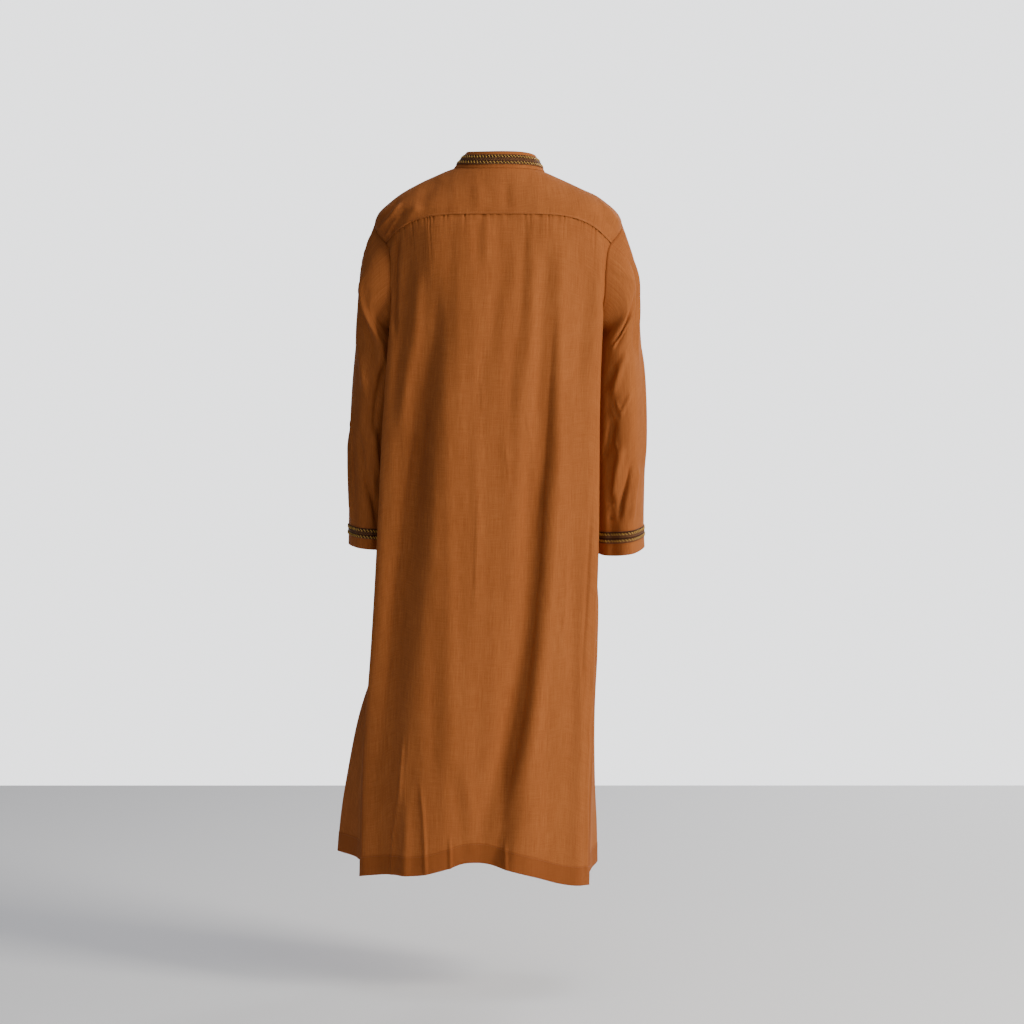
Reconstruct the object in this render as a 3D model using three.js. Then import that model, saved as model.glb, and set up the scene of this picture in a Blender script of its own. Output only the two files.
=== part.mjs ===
// An open-front robe with a stand collar, worn and hanging, as its cut pieces: a back yoke that
// wraps to the shoulder seams, a back panel gathered under it, two fronts, two set-in sleeves,
// a collar band, and a woven tape on the collar and on each cuff.
//
// Millimetres. +Z is up, +X is the wearer's left and +Y the wearer's back. The origin lies in the
// middle of the neck at the height of the side neck points, where the wearer's shoulders hold it.
//
// The body is one surface, torso(angle, level). angle is in degrees round the wearer, 0 at the
// centre back, 90 at the left side and -90 at the right. level counts along the rows of RINGS, from
// 0 at the neck seam to the last row at the hem. Each panel is a patch of that surface between its
// seams, thickened to a wall. Pieces that meet at a seam share the seam's points and its normals.
import * as THREE from "three";

// ---- Driving dimensions ----
const WALL = 1.6; // cloth wall, half on each side of the panel's own surface
const SEAM_GAP = 0.3; // between two pieces at a seam
const TAPE_WALL = 1.2; // the woven tape
const TAPE_WIDTH = 19;
const HEM_Z = -1373; // the lowest stretch of the hem, before it is lifted
const COLLAR_HEIGHT = 33;
const COLLAR_TAPE_FROM = 0.21; // share of the collar's height where its tape starts
const COLLAR_TAPE_TO = 0.79;
const CUFF_HEM_WIDTH = 19; // plain cloth below the cuff's tape
const FRONT_GAP_NECK = 56; // between the two front edges
const FRONT_GAP_HEM = 108;
const FRONT_CENTRE_SHARE = 0.5; // how much of the skirt's swing the opening follows

// A table's rows, as objects that share one list of column names.
function tableOf(columns, rows) {
  const names = columns.split(" ");
  return rows.map((row) => Object.fromEntries(names.map((name, i) => [name, row[i]])));
}

// ---- Levels of the body ----
// zBack, zFront, zLeft, zRight: height at the middle of the back and front and at the two sides.
// left, right: half widths at the sides. shift: x of the middle. back, front: depths.
// box: exponent of the section, 2 is an ellipse and more is squarer.
// wingLeft, wingRight: how far the back's loose cloth stands out past the side, under the arm.
const RINGS = tableOf(
  "name zBack zFront zLeft zRight left right shift back front box wingLeft wingRight",
  [
    ["neck", 6, -52, 9, 2, 89, 86, 0, 62, 60, 2.0, 0, 0],
    ["collarbone", -26, -82, -18, -27, 152, 150, 1, 84, 84, 2.1, 0, 0],
    ["shoulder", -50, -100, -50, -54, 205, 201, 2, 96, 98, 2.3, 0, 0],
    ["tip", -66, -113, -93, -93, 242, 235, 3, 101, 104, 2.4, 0, 0],
    ["yoke", -82, -128, -150, -150, 229, 223, 3, 106, 108, 2.5, 0, 0],
    ["chest", -200, -205, -205, -205, 200, 194, 3, 116, 118, 2.8, 24, 22],
    ["armpit", -292, -292, -292, -292, 180, 174, 5, 121, 124, 2.9, 45, 35],
    ["waist", -450, -450, -450, -450, 188, 170, 12, 120, 124, 2.9, 50, 35],
    ["hip", -700, -700, -700, -700, 198, 170, 18, 119, 127, 2.9, 53, 34],
    ["thigh", -900, -900, -900, -900, 220, 172, 28, 122, 134, 2.8, 44, 26],
    ["knee", -1114, -1114, -1114, -1114, 250, 170, 40, 127, 142, 2.7, 32, 23],
    ["hem", HEM_Z, HEM_Z, HEM_Z, HEM_Z, 262, 171, 46, 132, 150, 2.6, 27, 16],
  ],
);
const LEVEL = Object.fromEntries(RINGS.map((row, index) => [row.name, index]));
const SIDE_CURVE = 4; // power that takes a ring's height from its middle to its side
const WING_ANGLE = 62;
const WING_WIDTH = 16;

// ---- Folds ----
// top, middle, hem: the fold's angle at three heights. minus, plus: its widths in degrees towards
// the right and the left. start, full: heights where it begins and where it is whole.
// out: how far it stands out, or in if negative. across: true if it moves sideways only.
const FOLD_TOP_Z = -120;
const FOLD_COLUMNS = "name top middle hem minus plus start full out across";
const FOLDS = tableOf(FOLD_COLUMNS, [
  ["left valley", 29, 46, 49, 10, 8, -130, -420, -15, false],
  ["centre valley", -27, -23, -4, 4.5, 12, -170, -620, -13, false],
  ["centre ridge", -36, -32, -14, 13, 5, -170, -620, 7, false],
  ["right ridge", -55, -54, -53, 4, 5, -600, -900, 5, false],
  ["hem scoop", 8, 8, 7, 8, 9, -1060, -1330, -12, false],
  ["left crease", 36, 36, 33, 4, 4, -1000, -1280, 6, false],
  ["left front fold", 140, 142, 140, 8, 9, -320, -800, -13, false],
  ["right front fold", -138, -140, -142, 9, 8, -300, -760, -13, false],
  ["left front roll", 161, 160, 158, 6, 7, -360, -900, 7, false],
  ["right front roll", -160, -161, -158, 7, 6, -360, -900, 7, false],
  ["left flare", 112, 112, 112, 18, 18, -640, -1420, 74, true],
  ["right flare", -112, -112, -112, 18, 18, -560, -850, 32, true],
]);

// ---- Gathers of the back into the yoke ----
const GATHERS = 28;
const GATHER_OUT = 3.2;
const GATHER_RISE = 10; // below the seam, where they are fullest
const GATHER_FADE = 42;
// At the middle of the back they have a share of their depth, and grow between two angles.
const GATHER_CALM = { share: 0.35, from: 3.2, to: 11.2 };

// ---- Seams ----
const SHOULDER_SEAM_ANGLE = 84;
// Levels of its top, its widest place and the armpit, and its half widths in degrees.
const ARMHOLE = { top: 3.05, widest: 5, bottom: 6, back: 26, front: 24 };
const ARMHOLE_PEAK = 2; // how slowly it widens below its top
const SIDE_SEAM = { armpit: 90, hem: 69 }; // angle of the side seam, which swings to the back
const SLIT_TOP_Z = -900;
const SLIT_OPEN = 2.2; // degrees between the slit's edges at the hem
const SLIT_TUCK = 7; // how far the front's edge lies inside the back's at the hem
const SLIT_TUCK_ANGLE = 14; // degrees of the front over which it tucks in
const SLIT_TUCK_FULL = 0.5; // share of the slit's height by which it is tucked in whole
// Where the yoke seam and the shoulder seam meet the armhole, counted in degrees round it.
const YOKE_END = THREE.MathUtils.radToDeg(
  Math.acos((ARMHOLE.widest - LEVEL.yoke) / (ARMHOLE.widest - ARMHOLE.top)),
);
const SHOULDER_END = THREE.MathUtils.radToDeg(
  Math.asin(((90 - SHOULDER_SEAM_ANGLE) / ARMHOLE.back) ** (1 / ARMHOLE_PEAK)),
);

// How far the hem is lifted above HEM_Z round the back and round the fronts.
const HEM_BACK = tableOf("angle lift", [
  [-90, -20],
  [-69, -8],
  [-45, 1],
  [-24, 21],
  [-10, 36],
  [1, 47],
  [12, 34],
  [24, 23],
  [45, 19],
  [69, 9],
  [90, 0],
]);
const HEM_FRONT = tableOf("angle lift", [
  [-180, 12],
  [-115, 18],
  [-70, 10],
  [70, 30],
  [115, 36],
  [150, 22],
  [180, 18],
]);
const HEM_LIFT_FROM = -980; // height where the lift starts to show in the cloth

// ---- Sleeves, level by level below the armhole ----
// outer, inner: distances of the sleeve's two sides from the middle plane.
// back, front: y of its back and front. droop, dip: how much lower its inner side and its back are.
const SLEEVE_COLUMNS = "z outer inner back front droop dip";
const SLEEVE_LEFT = tableOf(SLEEVE_COLUMNS, [
  [-335, 282, 188, 48, -92, 0, 0],
  [-410, 289, 192, 46, -92, 0, 0],
  [-500, 294, 198, 44, -92, 2, 1],
  [-600, 296, 203, 42, -94, 5, 2],
  [-672, 297, 206, 41, -98, 8, 4],
  [-717, 298, 208, 41, -102, 10, 6],
]);
const SLEEVE_RIGHT = tableOf(SLEEVE_COLUMNS, [
  [-335, 274, 188, 50, -92, 0, 0],
  [-410, 281, 184, 50, -92, 0, 0],
  [-500, 284, 183, 49, -94, 2, 2],
  [-600, 282, 184, 47, -97, 6, 5],
  [-672, 281, 187, 45, -101, 9, 9],
  [-716, 283, 189, 44, -105, 11, 18],
]);
// How much the sleeve leans out where it leaves the armhole, at its top and at the armpit, and how
// far it keeps that way at the armpit, as a share of its way at the top.
const SLEEVE_LEAN = { top: 0.3, armpit: 4.6, armpitPace: 0.5 };
// Angles go round the sleeve, with 0 at its outer side and 90 at its back.
const SLEEVE_FOLDS = tableOf(FOLD_COLUMNS, [
  ["back valley", 118, 112, 122, 17, 14, -300, -560, -8, false],
  ["back ridge", 62, 68, 72, 16, 16, -250, -500, 4, false],
  ["front valley", 300, 296, 300, 18, 16, -300, -560, -7, false],
]);

// ---- The collar's top edge: half width, depths and heights above the neck seam ----
const COLLAR_TOP = { half: 66, shift: -4, back: 51, front: 52, rise: COLLAR_HEIGHT, frontRise: 29 };

// ---- How finely each panel is cut into facets ----
const YOKE_ROWS = 5;
const SHOULDER_COLUMNS = 6;
const YOKE_NECK_COLUMNS = 18;
const BACK_ARMHOLE_ROWS = 9;
const FRONT_ARMHOLE_ROWS = 12;
const FRONT_NECK_COLUMNS = 7;
const SKIRT_ROWS = 14;
const GATHER_FACETS = 4; // columns for each gather
const GATHERED_ROWS = 3;
const YOKE_COLUMNS = 2 * SHOULDER_COLUMNS + YOKE_NECK_COLUMNS;
const BACK_COLUMNS = 48;
const SLEEVE_HEAD_ROWS = 5;
const SLEEVE_ARM_ROWS = 8;

// ---- Numbers ----
const BISECT_STEPS = 40;
const STEADY = ["zBack"]; // columns whose curve never turns back between two rows
const STEEPEST = 2; // such a curve's slope at a row, in times the gentler side
const FRONT_EDGE_RANGE = { from: 120, to: 180 }; // angles between which each front edge lies
// Steps either side of a spot, over which its normal is taken: degrees, and shares of a level.
const NORMAL_STEP = { angle: 0.2, level: 0.01, turn: 2, place: 0.02, collarAngle: 1, collarShare: 0.05 };
const radians = THREE.MathUtils.degToRad;
const lerp = THREE.MathUtils.lerp;
const clamp = THREE.MathUtils.clamp;

function ease(t) {
  const s = clamp(t, 0, 1);
  return s * s * (3 - 2 * s);
}

function signedPower(value, power) {
  return Math.sign(value) * Math.abs(value) ** power;
}

// A curve's slope at a row, from the rows before and after it. A table's end rows keep the mean.
function slopeAt(key, before, here, after) {
  const mean = (after - before) / 2;
  const gentler = Math.min(Math.abs(here - before), Math.abs(after - here));
  if (!STEADY.includes(key) || gentler === 0) return mean;
  return clamp(mean, -STEEPEST * gentler, STEEPEST * gentler);
}

// A smooth curve through the rows of a table, at a place counted in rows.
function rowAt(table, place) {
  const last = table.length - 1;
  const index = clamp(Math.floor(place), 0, last - 1);
  const t = clamp(place - index, 0, 1);
  const rows = [index - 1, index, index + 1, index + 2].map((i) => table[clamp(i, 0, last)]);
  const row = {};
  for (const key of Object.keys(table[0])) {
    if (typeof table[0][key] !== "number") continue;
    const [a, b, c, d] = rows.map((r) => r[key]);
    const m = slopeAt(key, a, b, c);
    const n = slopeAt(key, b, c, d);
    row[key] = b + t * (m + t * (3 * (c - b) - 2 * m - n + t * (2 * (b - c) + m + n)));
  }
  return row;
}

// The value between low and high where isBefore turns from true to false.
function bisect(low, high, isBefore) {
  let [from, to] = [low, high];
  for (let step = 0; step < BISECT_STEPS; step++) {
    const middle = (from + to) / 2;
    if (isBefore(middle)) from = middle;
    else to = middle;
  }
  return (from + to) / 2;
}

// The place, in rows, where a column that falls or rises down the table has a value.
function placeOf(table, key, value) {
  const last = table.length - 1;
  const rising = table[last][key] > table[0][key];
  return bisect(0, last, (place) => rowAt(table, place)[key] < value === rising);
}

// ---- The body's surface ----
function foldPush(folds, angle, z, turn) {
  const q = clamp((FOLD_TOP_Z - z) / (FOLD_TOP_Z - HEM_Z), 0, 1);
  const push = { out: 0, across: 0 };
  for (const fold of folds) {
    const centre =
      fold.top * (1 - 2 * q) * (1 - q) + fold.middle * 4 * q * (1 - q) + fold.hem * q * (2 * q - 1);
    let away = angle - centre;
    if (turn) away = ((away + 540) % 360) - 180;
    const width = away < 0 ? fold.minus : fold.plus;
    const depth = fold.out * ease((fold.start - z) / (fold.start - fold.full));
    push[fold.across ? "across" : "out"] += depth * Math.exp(-((away / width) ** 2));
  }
  return push;
}

function gatherPush(angle, level) {
  const below = (level - LEVEL.yoke) * (RINGS[LEVEL.yoke].zBack - RINGS[LEVEL.chest].zBack);
  const edge = armholeAngle(YOKE_END);
  if (below <= 0 || Math.abs(angle) > edge) return 0;
  const wave = 0.5 - 0.5 * Math.cos((Math.PI * GATHERS * (angle + edge)) / edge);
  const grown = (Math.abs(angle) - GATHER_CALM.from) / (GATHER_CALM.to - GATHER_CALM.from);
  const calm = lerp(GATHER_CALM.share, 1, ease(grown));
  const fade = ease(below / GATHER_RISE) * Math.exp(-below / GATHER_FADE);
  return GATHER_OUT * wave * calm * fade;
}

function hemLift(angle, z, table) {
  if (z > HEM_LIFT_FROM) return 0;
  const lift = rowAt(table, placeOf(table, "angle", angle)).lift;
  return lift * ease((HEM_LIFT_FROM - z) / (HEM_LIFT_FROM - HEM_Z));
}

function torso(angle, level, hemTable = HEM_BACK) {
  const ring = rowAt(RINGS, level);
  const sine = Math.sin(radians(angle));
  const cosine = Math.cos(radians(angle));
  const half = sine > 0 ? ring.left - ring.shift : ring.right + ring.shift;
  const depth = cosine > 0 ? ring.back : ring.front;
  const zMiddle = cosine > 0 ? ring.zBack : ring.zFront;
  const z = lerp(zMiddle, sine > 0 ? ring.zLeft : ring.zRight, Math.abs(sine) ** SIDE_CURVE);
  const wing = sine > 0 ? ring.wingLeft : ring.wingRight;
  const wingShare = Math.exp(-(((Math.abs(angle) - WING_ANGLE) / WING_WIDTH) ** 2));
  const folds = foldPush(FOLDS, angle, z, false);
  const out = folds.out + gatherPush(angle, level);
  const normal = new THREE.Vector2(
    signedPower(sine, 2 - 2 / ring.box) / half,
    signedPower(cosine, 2 - 2 / ring.box) / depth,
  ).normalize();
  const side = Math.sign(sine);
  return new THREE.Vector3(
    ring.shift +
      half * signedPower(sine, 2 / ring.box) +
      side * (wing * wingShare + folds.across) +
      out * normal.x,
    depth * signedPower(cosine, 2 / ring.box) + out * normal.y,
    z + hemLift(angle, z, hemTable),
  );
}

function torsoNormal(angle, level, hemTable) {
  const low = Math.max(level - NORMAL_STEP.level, 0);
  const high = Math.min(level + NORMAL_STEP.level, LEVEL.hem);
  const left = torso(angle + NORMAL_STEP.angle, level, hemTable);
  const round = left.sub(torso(angle - NORMAL_STEP.angle, level, hemTable));
  const down = torso(angle, high, hemTable).sub(torso(angle, low, hemTable));
  return down.cross(round).negate().normalize();
}

// ---- Seam lines on the body, as angle and level ----
// turn counts round the armhole: 0 at its top, 90 at the back, 180 at the armpit, 270 in front.
function armholeAngle(turn) {
  const s = Math.sin(radians(turn));
  const share = Math.abs(s) ** (Math.cos(radians(turn)) > 0 ? ARMHOLE_PEAK : 1);
  return 90 - (s > 0 ? ARMHOLE.back : -ARMHOLE.front) * share;
}

function armholeSpot(turn) {
  const c = Math.cos(radians(turn));
  const end = c > 0 ? ARMHOLE.top : ARMHOLE.bottom;
  return [armholeAngle(turn), lerp(ARMHOLE.widest, end, Math.abs(c))];
}

// The angle of a front edge at a level, on the left side or mirrored for the right.
function frontEdgeAngle(side, level) {
  const gap = lerp(FRONT_GAP_NECK, FRONT_GAP_HEM, level / LEVEL.hem);
  const target = rowAt(RINGS, level).shift * FRONT_CENTRE_SHARE + (side * gap) / 2;
  const isOutside = (angle) => side * (torso(side * angle, level, HEM_FRONT).x - target) > 0;
  return bisect(FRONT_EDGE_RANGE.from, FRONT_EDGE_RANGE.to, isOutside);
}

function sideSeamAngle(level) {
  const t = (level - LEVEL.armpit) / (LEVEL.hem - LEVEL.armpit);
  return lerp(SIDE_SEAM.armpit, SIDE_SEAM.hem, ease(t));
}

// How far below the top of the slit a level is, 0 above it and 1 at the hem.
function slitShare(level) {
  return clamp((SLIT_TOP_Z - rowAt(RINGS, level).zLeft) / (SLIT_TOP_Z - HEM_Z), 0, 1);
}

// A patch between four border lines, each a function of 0..1 that gives [angle, level].
function patchSpot({ top, bottom, start, end }, u, v) {
  const corners = [top(0), top(1), bottom(0), bottom(1)];
  return [0, 1].map(
    (k) =>
      lerp(top(u)[k], bottom(u)[k], v) +
      lerp(start(v)[k], end(v)[k], u) -
      lerp(lerp(corners[0][k], corners[1][k], u), lerp(corners[2][k], corners[3][k], u), v),
  );
}

// ---- Walls ----
// A spot of a panel: its point on the cloth's middle surface and the wall's direction there.
function torsoSpot(side, angle, level, hemTable) {
  return {
    point: torso(side * angle, level, hemTable),
    normal: torsoNormal(side * angle, level, hemTable),
  };
}

function pull(rows, index, towards) {
  const amount = SEAM_GAP / 2;
  rows[index].forEach((spot, i) => {
    const other = nearestSpot(rows[towards], i / Math.max(rows[index].length - 1, 1));
    const way = other.clone().sub(spot.point);
    way.addScaledVector(spot.normal, -way.dot(spot.normal));
    spot.moved = spot.point.clone().addScaledVector(way.normalize(), amount);
  });
}

function nearestSpot(row, share) {
  const place = share * (row.length - 1);
  const index = clamp(Math.floor(place), 0, row.length - 2);
  return row[index].point.clone().lerp(row[index + 1].point, place - index);
}

function pullEnds(rows, first, last, ends) {
  const amount = SEAM_GAP / 2;
  for (const row of rows.slice(first, last + 1)) {
    for (const [end, next] of ends) {
      const spot = row.at(end);
      const way = row.at(next).point.clone().sub(spot.point);
      way.addScaledVector(spot.normal, -way.dot(spot.normal));
      const from = spot.moved ?? spot.point;
      spot.moved = from.clone().addScaledVector(way.normalize(), amount);
    }
  }
}

// The triangles between two rows of places, which may differ in how many each has.
function zipRows(upper, lower, faces) {
  let i = 0;
  let j = 0;
  const lastUpper = upper.length - 1;
  const lastLower = lower.length - 1;
  while (i < lastUpper || j < lastLower) {
    const nextUpper = i < lastUpper ? (i + 1) / lastUpper : Infinity;
    const nextLower = j < lastLower ? (j + 1) / lastLower : Infinity;
    if (nextUpper <= nextLower) {
      faces.push([upper[i], upper[i + 1], lower[j]]);
      i++;
    } else {
      faces.push([upper[i], lower[j + 1], lower[j]]);
      j++;
    }
  }
}

// A closed wall round rows of spots. Rows run from top to bottom, and the spots of a row run to
// the left as seen from outside. A tube's rows are closed loops.
function wallGeometry(rows, { tube = false, inside = WALL / 2, outside = WALL / 2 } = {}) {
  const positions = [];
  const place = (spot, offset) => {
    const p = (spot.moved ?? spot.point).clone().addScaledVector(spot.normal, offset);
    return positions.push(p.x, p.y, p.z) / 3 - 1;
  };
  const outer = rows.map((row) => row.map((spot) => place(spot, outside)));
  const inner = rows.map((row) => row.map((spot) => place(spot, -inside)));
  if (tube) for (const sheet of [outer, inner]) for (const row of sheet) row.push(row[0]);
  const faces = [];
  const gap = (a, b) =>
    Math.hypot(...[0, 1, 2].map((k) => positions[3 * a + k] - positions[3 * b + k]));
  // The wall's edge splits along its shorter diagonal, so that both sides of a seam split alike.
  const border = (out, into) => {
    for (let i = 0; i < out.length - 1; i++) {
      const [a, b, c, d] = [out[i], out[i + 1], into[i], into[i + 1]];
      if (gap(a, d) < gap(b, c)) faces.push([a, d, b], [a, c, d]);
      else faces.push([a, c, b], [c, d, b]);
    }
  };
  for (let r = 0; r < rows.length - 1; r++) {
    zipRows(outer[r], outer[r + 1], faces);
    const lining = [];
    zipRows(inner[r], inner[r + 1], lining);
    for (const [a, b, c] of lining) faces.push([a, c, b]);
  }
  border(outer[0], inner[0]);
  border([...outer.at(-1)].reverse(), [...inner.at(-1)].reverse());
  if (!tube) {
    border(outer.map((row) => row.at(-1)), inner.map((row) => row.at(-1)));
    border(outer.map((row) => row[0]).reverse(), inner.map((row) => row[0]).reverse());
  }
  const geometry = new THREE.BufferGeometry();
  geometry.setAttribute("position", new THREE.Float32BufferAttribute(positions, 3));
  geometry.setIndex(faces.flat());
  geometry.computeVertexNormals();
  return geometry;
}

function steps(count, from = 0, to = 1) {
  return Array.from({ length: count + 1 }, (_, i) => lerp(from, to, i / count));
}

// ---- Sleeves ----
// The turns round the armhole where the body's panels have a row, which the sleeve shares.
const YOKE_TURNS = steps(YOKE_ROWS, SHOULDER_END, YOKE_END);
const BACK_TURNS = steps(BACK_ARMHOLE_ROWS, YOKE_END, 180);
const FRONT_TURNS = steps(FRONT_ARMHOLE_ROWS, SHOULDER_END + 360, 180);
const SLEEVE_TURNS = [...YOKE_TURNS, ...BACK_TURNS.slice(1), ...[...FRONT_TURNS].reverse().slice(1, -1)];

function sleeveTable(side) {
  return side > 0 ? SLEEVE_LEFT : SLEEVE_RIGHT;
}

// The sleeve below its head: turn is the angle round it, as round the armhole.
function sleeveArm(side, turn, place) {
  const row = rowAt(sleeveTable(side), place);
  const c = Math.cos(radians(turn));
  const s = Math.sin(radians(turn));
  const { out } = foldPush(SLEEVE_FOLDS, turn, row.z, true);
  const halfWidth = (row.outer - row.inner) / 2 + out;
  const halfDepth = (row.back - row.front) / 2 + out;
  return new THREE.Vector3(
    side * ((row.outer + row.inner) / 2 + halfWidth * c),
    (row.back + row.front) / 2 + halfDepth * s,
    row.z - (row.droop * (1 - c) + row.dip * (1 + s)) / 2,
  );
}

// The sleeve's head runs from the armhole to the first row of the table.
function sleeveHead(side, turn, t) {
  const [angle, level] = armholeSpot(turn);
  const from = torso(side * angle, level);
  const to = sleeveArm(side, turn, 0);
  const length = from.distanceTo(to);
  const down = (1 - Math.cos(radians(turn))) / 2;
  const out = lerp(SLEEVE_LEAN.top, SLEEVE_LEAN.armpit, down);
  const pace = lerp(1, SLEEVE_LEAN.armpitPace, down);
  const lean = new THREE.Vector3(side * out, 0, -1).multiplyScalar(length * pace);
  const drop = new THREE.Vector3(0, 0, -1).multiplyScalar(length);
  const t2 = t * t;
  const t3 = t2 * t;
  return from
    .multiplyScalar(2 * t3 - 3 * t2 + 1)
    .addScaledVector(lean, t3 - 2 * t2 + t)
    .addScaledVector(to, 3 * t2 - 2 * t3)
    .addScaledVector(drop, t3 - t2);
}

// place: -1 at the armhole, 0 at the table's first row, and on to its last at the cuff.
function sleeve(side, turn, place) {
  return place < 0 ? sleeveHead(side, turn, place + 1) : sleeveArm(side, turn, place);
}

function sleeveNormal(side, turn, place) {
  const low = Math.max(place - NORMAL_STEP.place, -1);
  const high = Math.min(place + NORMAL_STEP.place, sleeveTable(side).length - 1);
  const next = sleeve(side, turn + NORMAL_STEP.turn, place);
  const round = next.sub(sleeve(side, turn - NORMAL_STEP.turn, place));
  const down = sleeve(side, turn, high).sub(sleeve(side, turn, low));
  return round.cross(down).multiplyScalar(-side).normalize();
}

// Walls that meet at the armhole end on one plane between them.
function armholeNormal(side, turn) {
  const [angle, level] = armholeSpot(turn);
  return torsoNormal(side * angle, level).add(sleeveNormal(side, turn, -1)).normalize();
}

function cuffPlaces(side) {
  const table = sleeveTable(side);
  const cuff = table.at(-1).z;
  const tapeLow = placeOf(table, "z", cuff + CUFF_HEM_WIDTH);
  const tapeHigh = placeOf(table, "z", cuff + CUFF_HEM_WIDTH + TAPE_WIDTH);
  return { tapeHigh, tapeLow, cuff: table.length - 1 };
}

function sleeveRow(side, place) {
  const turns = side > 0 ? [...SLEEVE_TURNS].reverse() : SLEEVE_TURNS;
  return turns.map((turn) => ({
    point: sleeve(side, turn, place),
    normal: place <= -1 ? armholeNormal(side, turn) : sleeveNormal(side, turn, place),
  }));
}

function sleeveGeometry(side) {
  const { tapeHigh, tapeLow, cuff } = cuffPlaces(side);
  const places = [
    ...steps(SLEEVE_HEAD_ROWS, -1, 0).slice(0, -1),
    ...steps(SLEEVE_ARM_ROWS, 0, tapeHigh),
    tapeLow,
    cuff,
  ];
  const rows = places.map((place) => sleeveRow(side, place));
  pull(rows, 0, 1);
  return wallGeometry(rows, { tube: true });
}

function cuffTapeGeometry(side) {
  const { tapeHigh, tapeLow } = cuffPlaces(side);
  const rows = [tapeHigh, tapeLow].map((place) => sleeveRow(side, place));
  return wallGeometry(rows, {
    tube: true,
    inside: -(WALL / 2 + SEAM_GAP),
    outside: WALL / 2 + SEAM_GAP + TAPE_WALL,
  });
}

// ---- Collar ----
function collar(angle, share) {
  const base = torso(angle, 0);
  const sine = Math.sin(radians(angle));
  const cosine = Math.cos(radians(angle));
  const rise = lerp(COLLAR_TOP.rise, COLLAR_TOP.frontRise, (1 - cosine) / 2);
  const top = new THREE.Vector3(
    COLLAR_TOP.shift * (1 + cosine) * 0.5 + COLLAR_TOP.half * sine,
    (cosine > 0 ? COLLAR_TOP.back : COLLAR_TOP.front) * cosine,
    base.z + rise,
  );
  return base.lerp(top, share);
}

function collarNormal(angle, share) {
  const low = Math.max(share - NORMAL_STEP.collarShare, 0);
  const high = Math.min(share + NORMAL_STEP.collarShare, 1);
  const left = collar(angle + NORMAL_STEP.collarAngle, share);
  const round = left.sub(collar(angle - NORMAL_STEP.collarAngle, share));
  const down = collar(angle, low).sub(collar(angle, high));
  return down.cross(round).negate().normalize();
}

function neckNormal(angle) {
  return torsoNormal(angle, 0).add(collarNormal(angle, 0)).normalize();
}

const NECK_END = { left: frontEdgeAngle(1, 0), right: -frontEdgeAngle(-1, 0) };
const COLLAR_ANGLES = [
  ...steps(FRONT_NECK_COLUMNS, NECK_END.left, SHOULDER_SEAM_ANGLE).slice(0, -1),
  ...steps(YOKE_NECK_COLUMNS, SHOULDER_SEAM_ANGLE, -SHOULDER_SEAM_ANGLE).slice(0, -1),
  ...steps(FRONT_NECK_COLUMNS, -SHOULDER_SEAM_ANGLE, NECK_END.right),
].reverse();

function collarRow(share) {
  return COLLAR_ANGLES.map((angle) => ({
    point: collar(angle, share),
    normal: share === 0 ? neckNormal(angle) : collarNormal(angle, share),
  }));
}

function collarGeometry() {
  const rows = [1, COLLAR_TAPE_TO, COLLAR_TAPE_FROM, 0].map(collarRow);
  pull(rows, 3, 2);
  return wallGeometry(rows);
}

function collarTapeGeometry() {
  const rows = [COLLAR_TAPE_TO, COLLAR_TAPE_FROM].map(collarRow);
  return wallGeometry(rows, {
    inside: -(WALL / 2 + SEAM_GAP),
    outside: WALL / 2 + SEAM_GAP + TAPE_WALL,
  });
}

// ---- Body panels ----
// A panel's spots keep the seam's shared normal where the panel meets the collar or a sleeve.
function yokeGeometry() {
  const shoulder = SHOULDER_COLUMNS;
  const columns = YOKE_COLUMNS;
  const neckFrom = shoulder / columns;
  const tip = armholeSpot(SHOULDER_END)[1];
  const bottomAngle = armholeAngle(YOKE_END);
  const borders = {
    top: (u) => {
      const left = 1 - u / neckFrom;
      const right = (u - 1 + neckFrom) / neckFrom;
      if (left > 0) return [-SHOULDER_SEAM_ANGLE, tip * left];
      if (right > 0) return [SHOULDER_SEAM_ANGLE, tip * right];
      return [lerp(-SHOULDER_SEAM_ANGLE, SHOULDER_SEAM_ANGLE, (u - neckFrom) / (1 - 2 * neckFrom)), 0];
    },
    bottom: (u) => [lerp(-bottomAngle, bottomAngle, u), LEVEL.yoke],
    start: (v) => {
      const [angle, level] = armholeSpot(lerp(SHOULDER_END, YOKE_END, v));
      return [-angle, level];
    },
    end: (v) => armholeSpot(lerp(SHOULDER_END, YOKE_END, v)),
  };
  const rows = steps(YOKE_ROWS).map((v, r) =>
    steps(columns).map((u, c) => {
      const [angle, level] = patchSpot(borders, u, v);
      const spot = torsoSpot(1, angle, level);
      const side = c === 0 ? -1 : c === columns ? 1 : 0;
      if (side) spot.normal = armholeNormal(side, YOKE_TURNS[r]);
      else if (r === 0 && c >= shoulder && c <= columns - shoulder) spot.normal = neckNormal(angle);
      return spot;
    }),
  );
  pull(rows, 0, 1);
  pull(rows, rows.length - 1, rows.length - 2);
  pullEnds(rows, 0, rows.length - 1, [[0, 1], [-1, -2]]);
  return wallGeometry(rows);
}

// The levels of the rows from the armpit down to the hem.
const SKIRT_LEVELS = steps(SKIRT_ROWS, LEVEL.armpit, LEVEL.hem).slice(1);

function backEdgeAngle(level) {
  return sideSeamAngle(level) - (SLIT_OPEN / 2) * slitShare(level);
}

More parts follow.
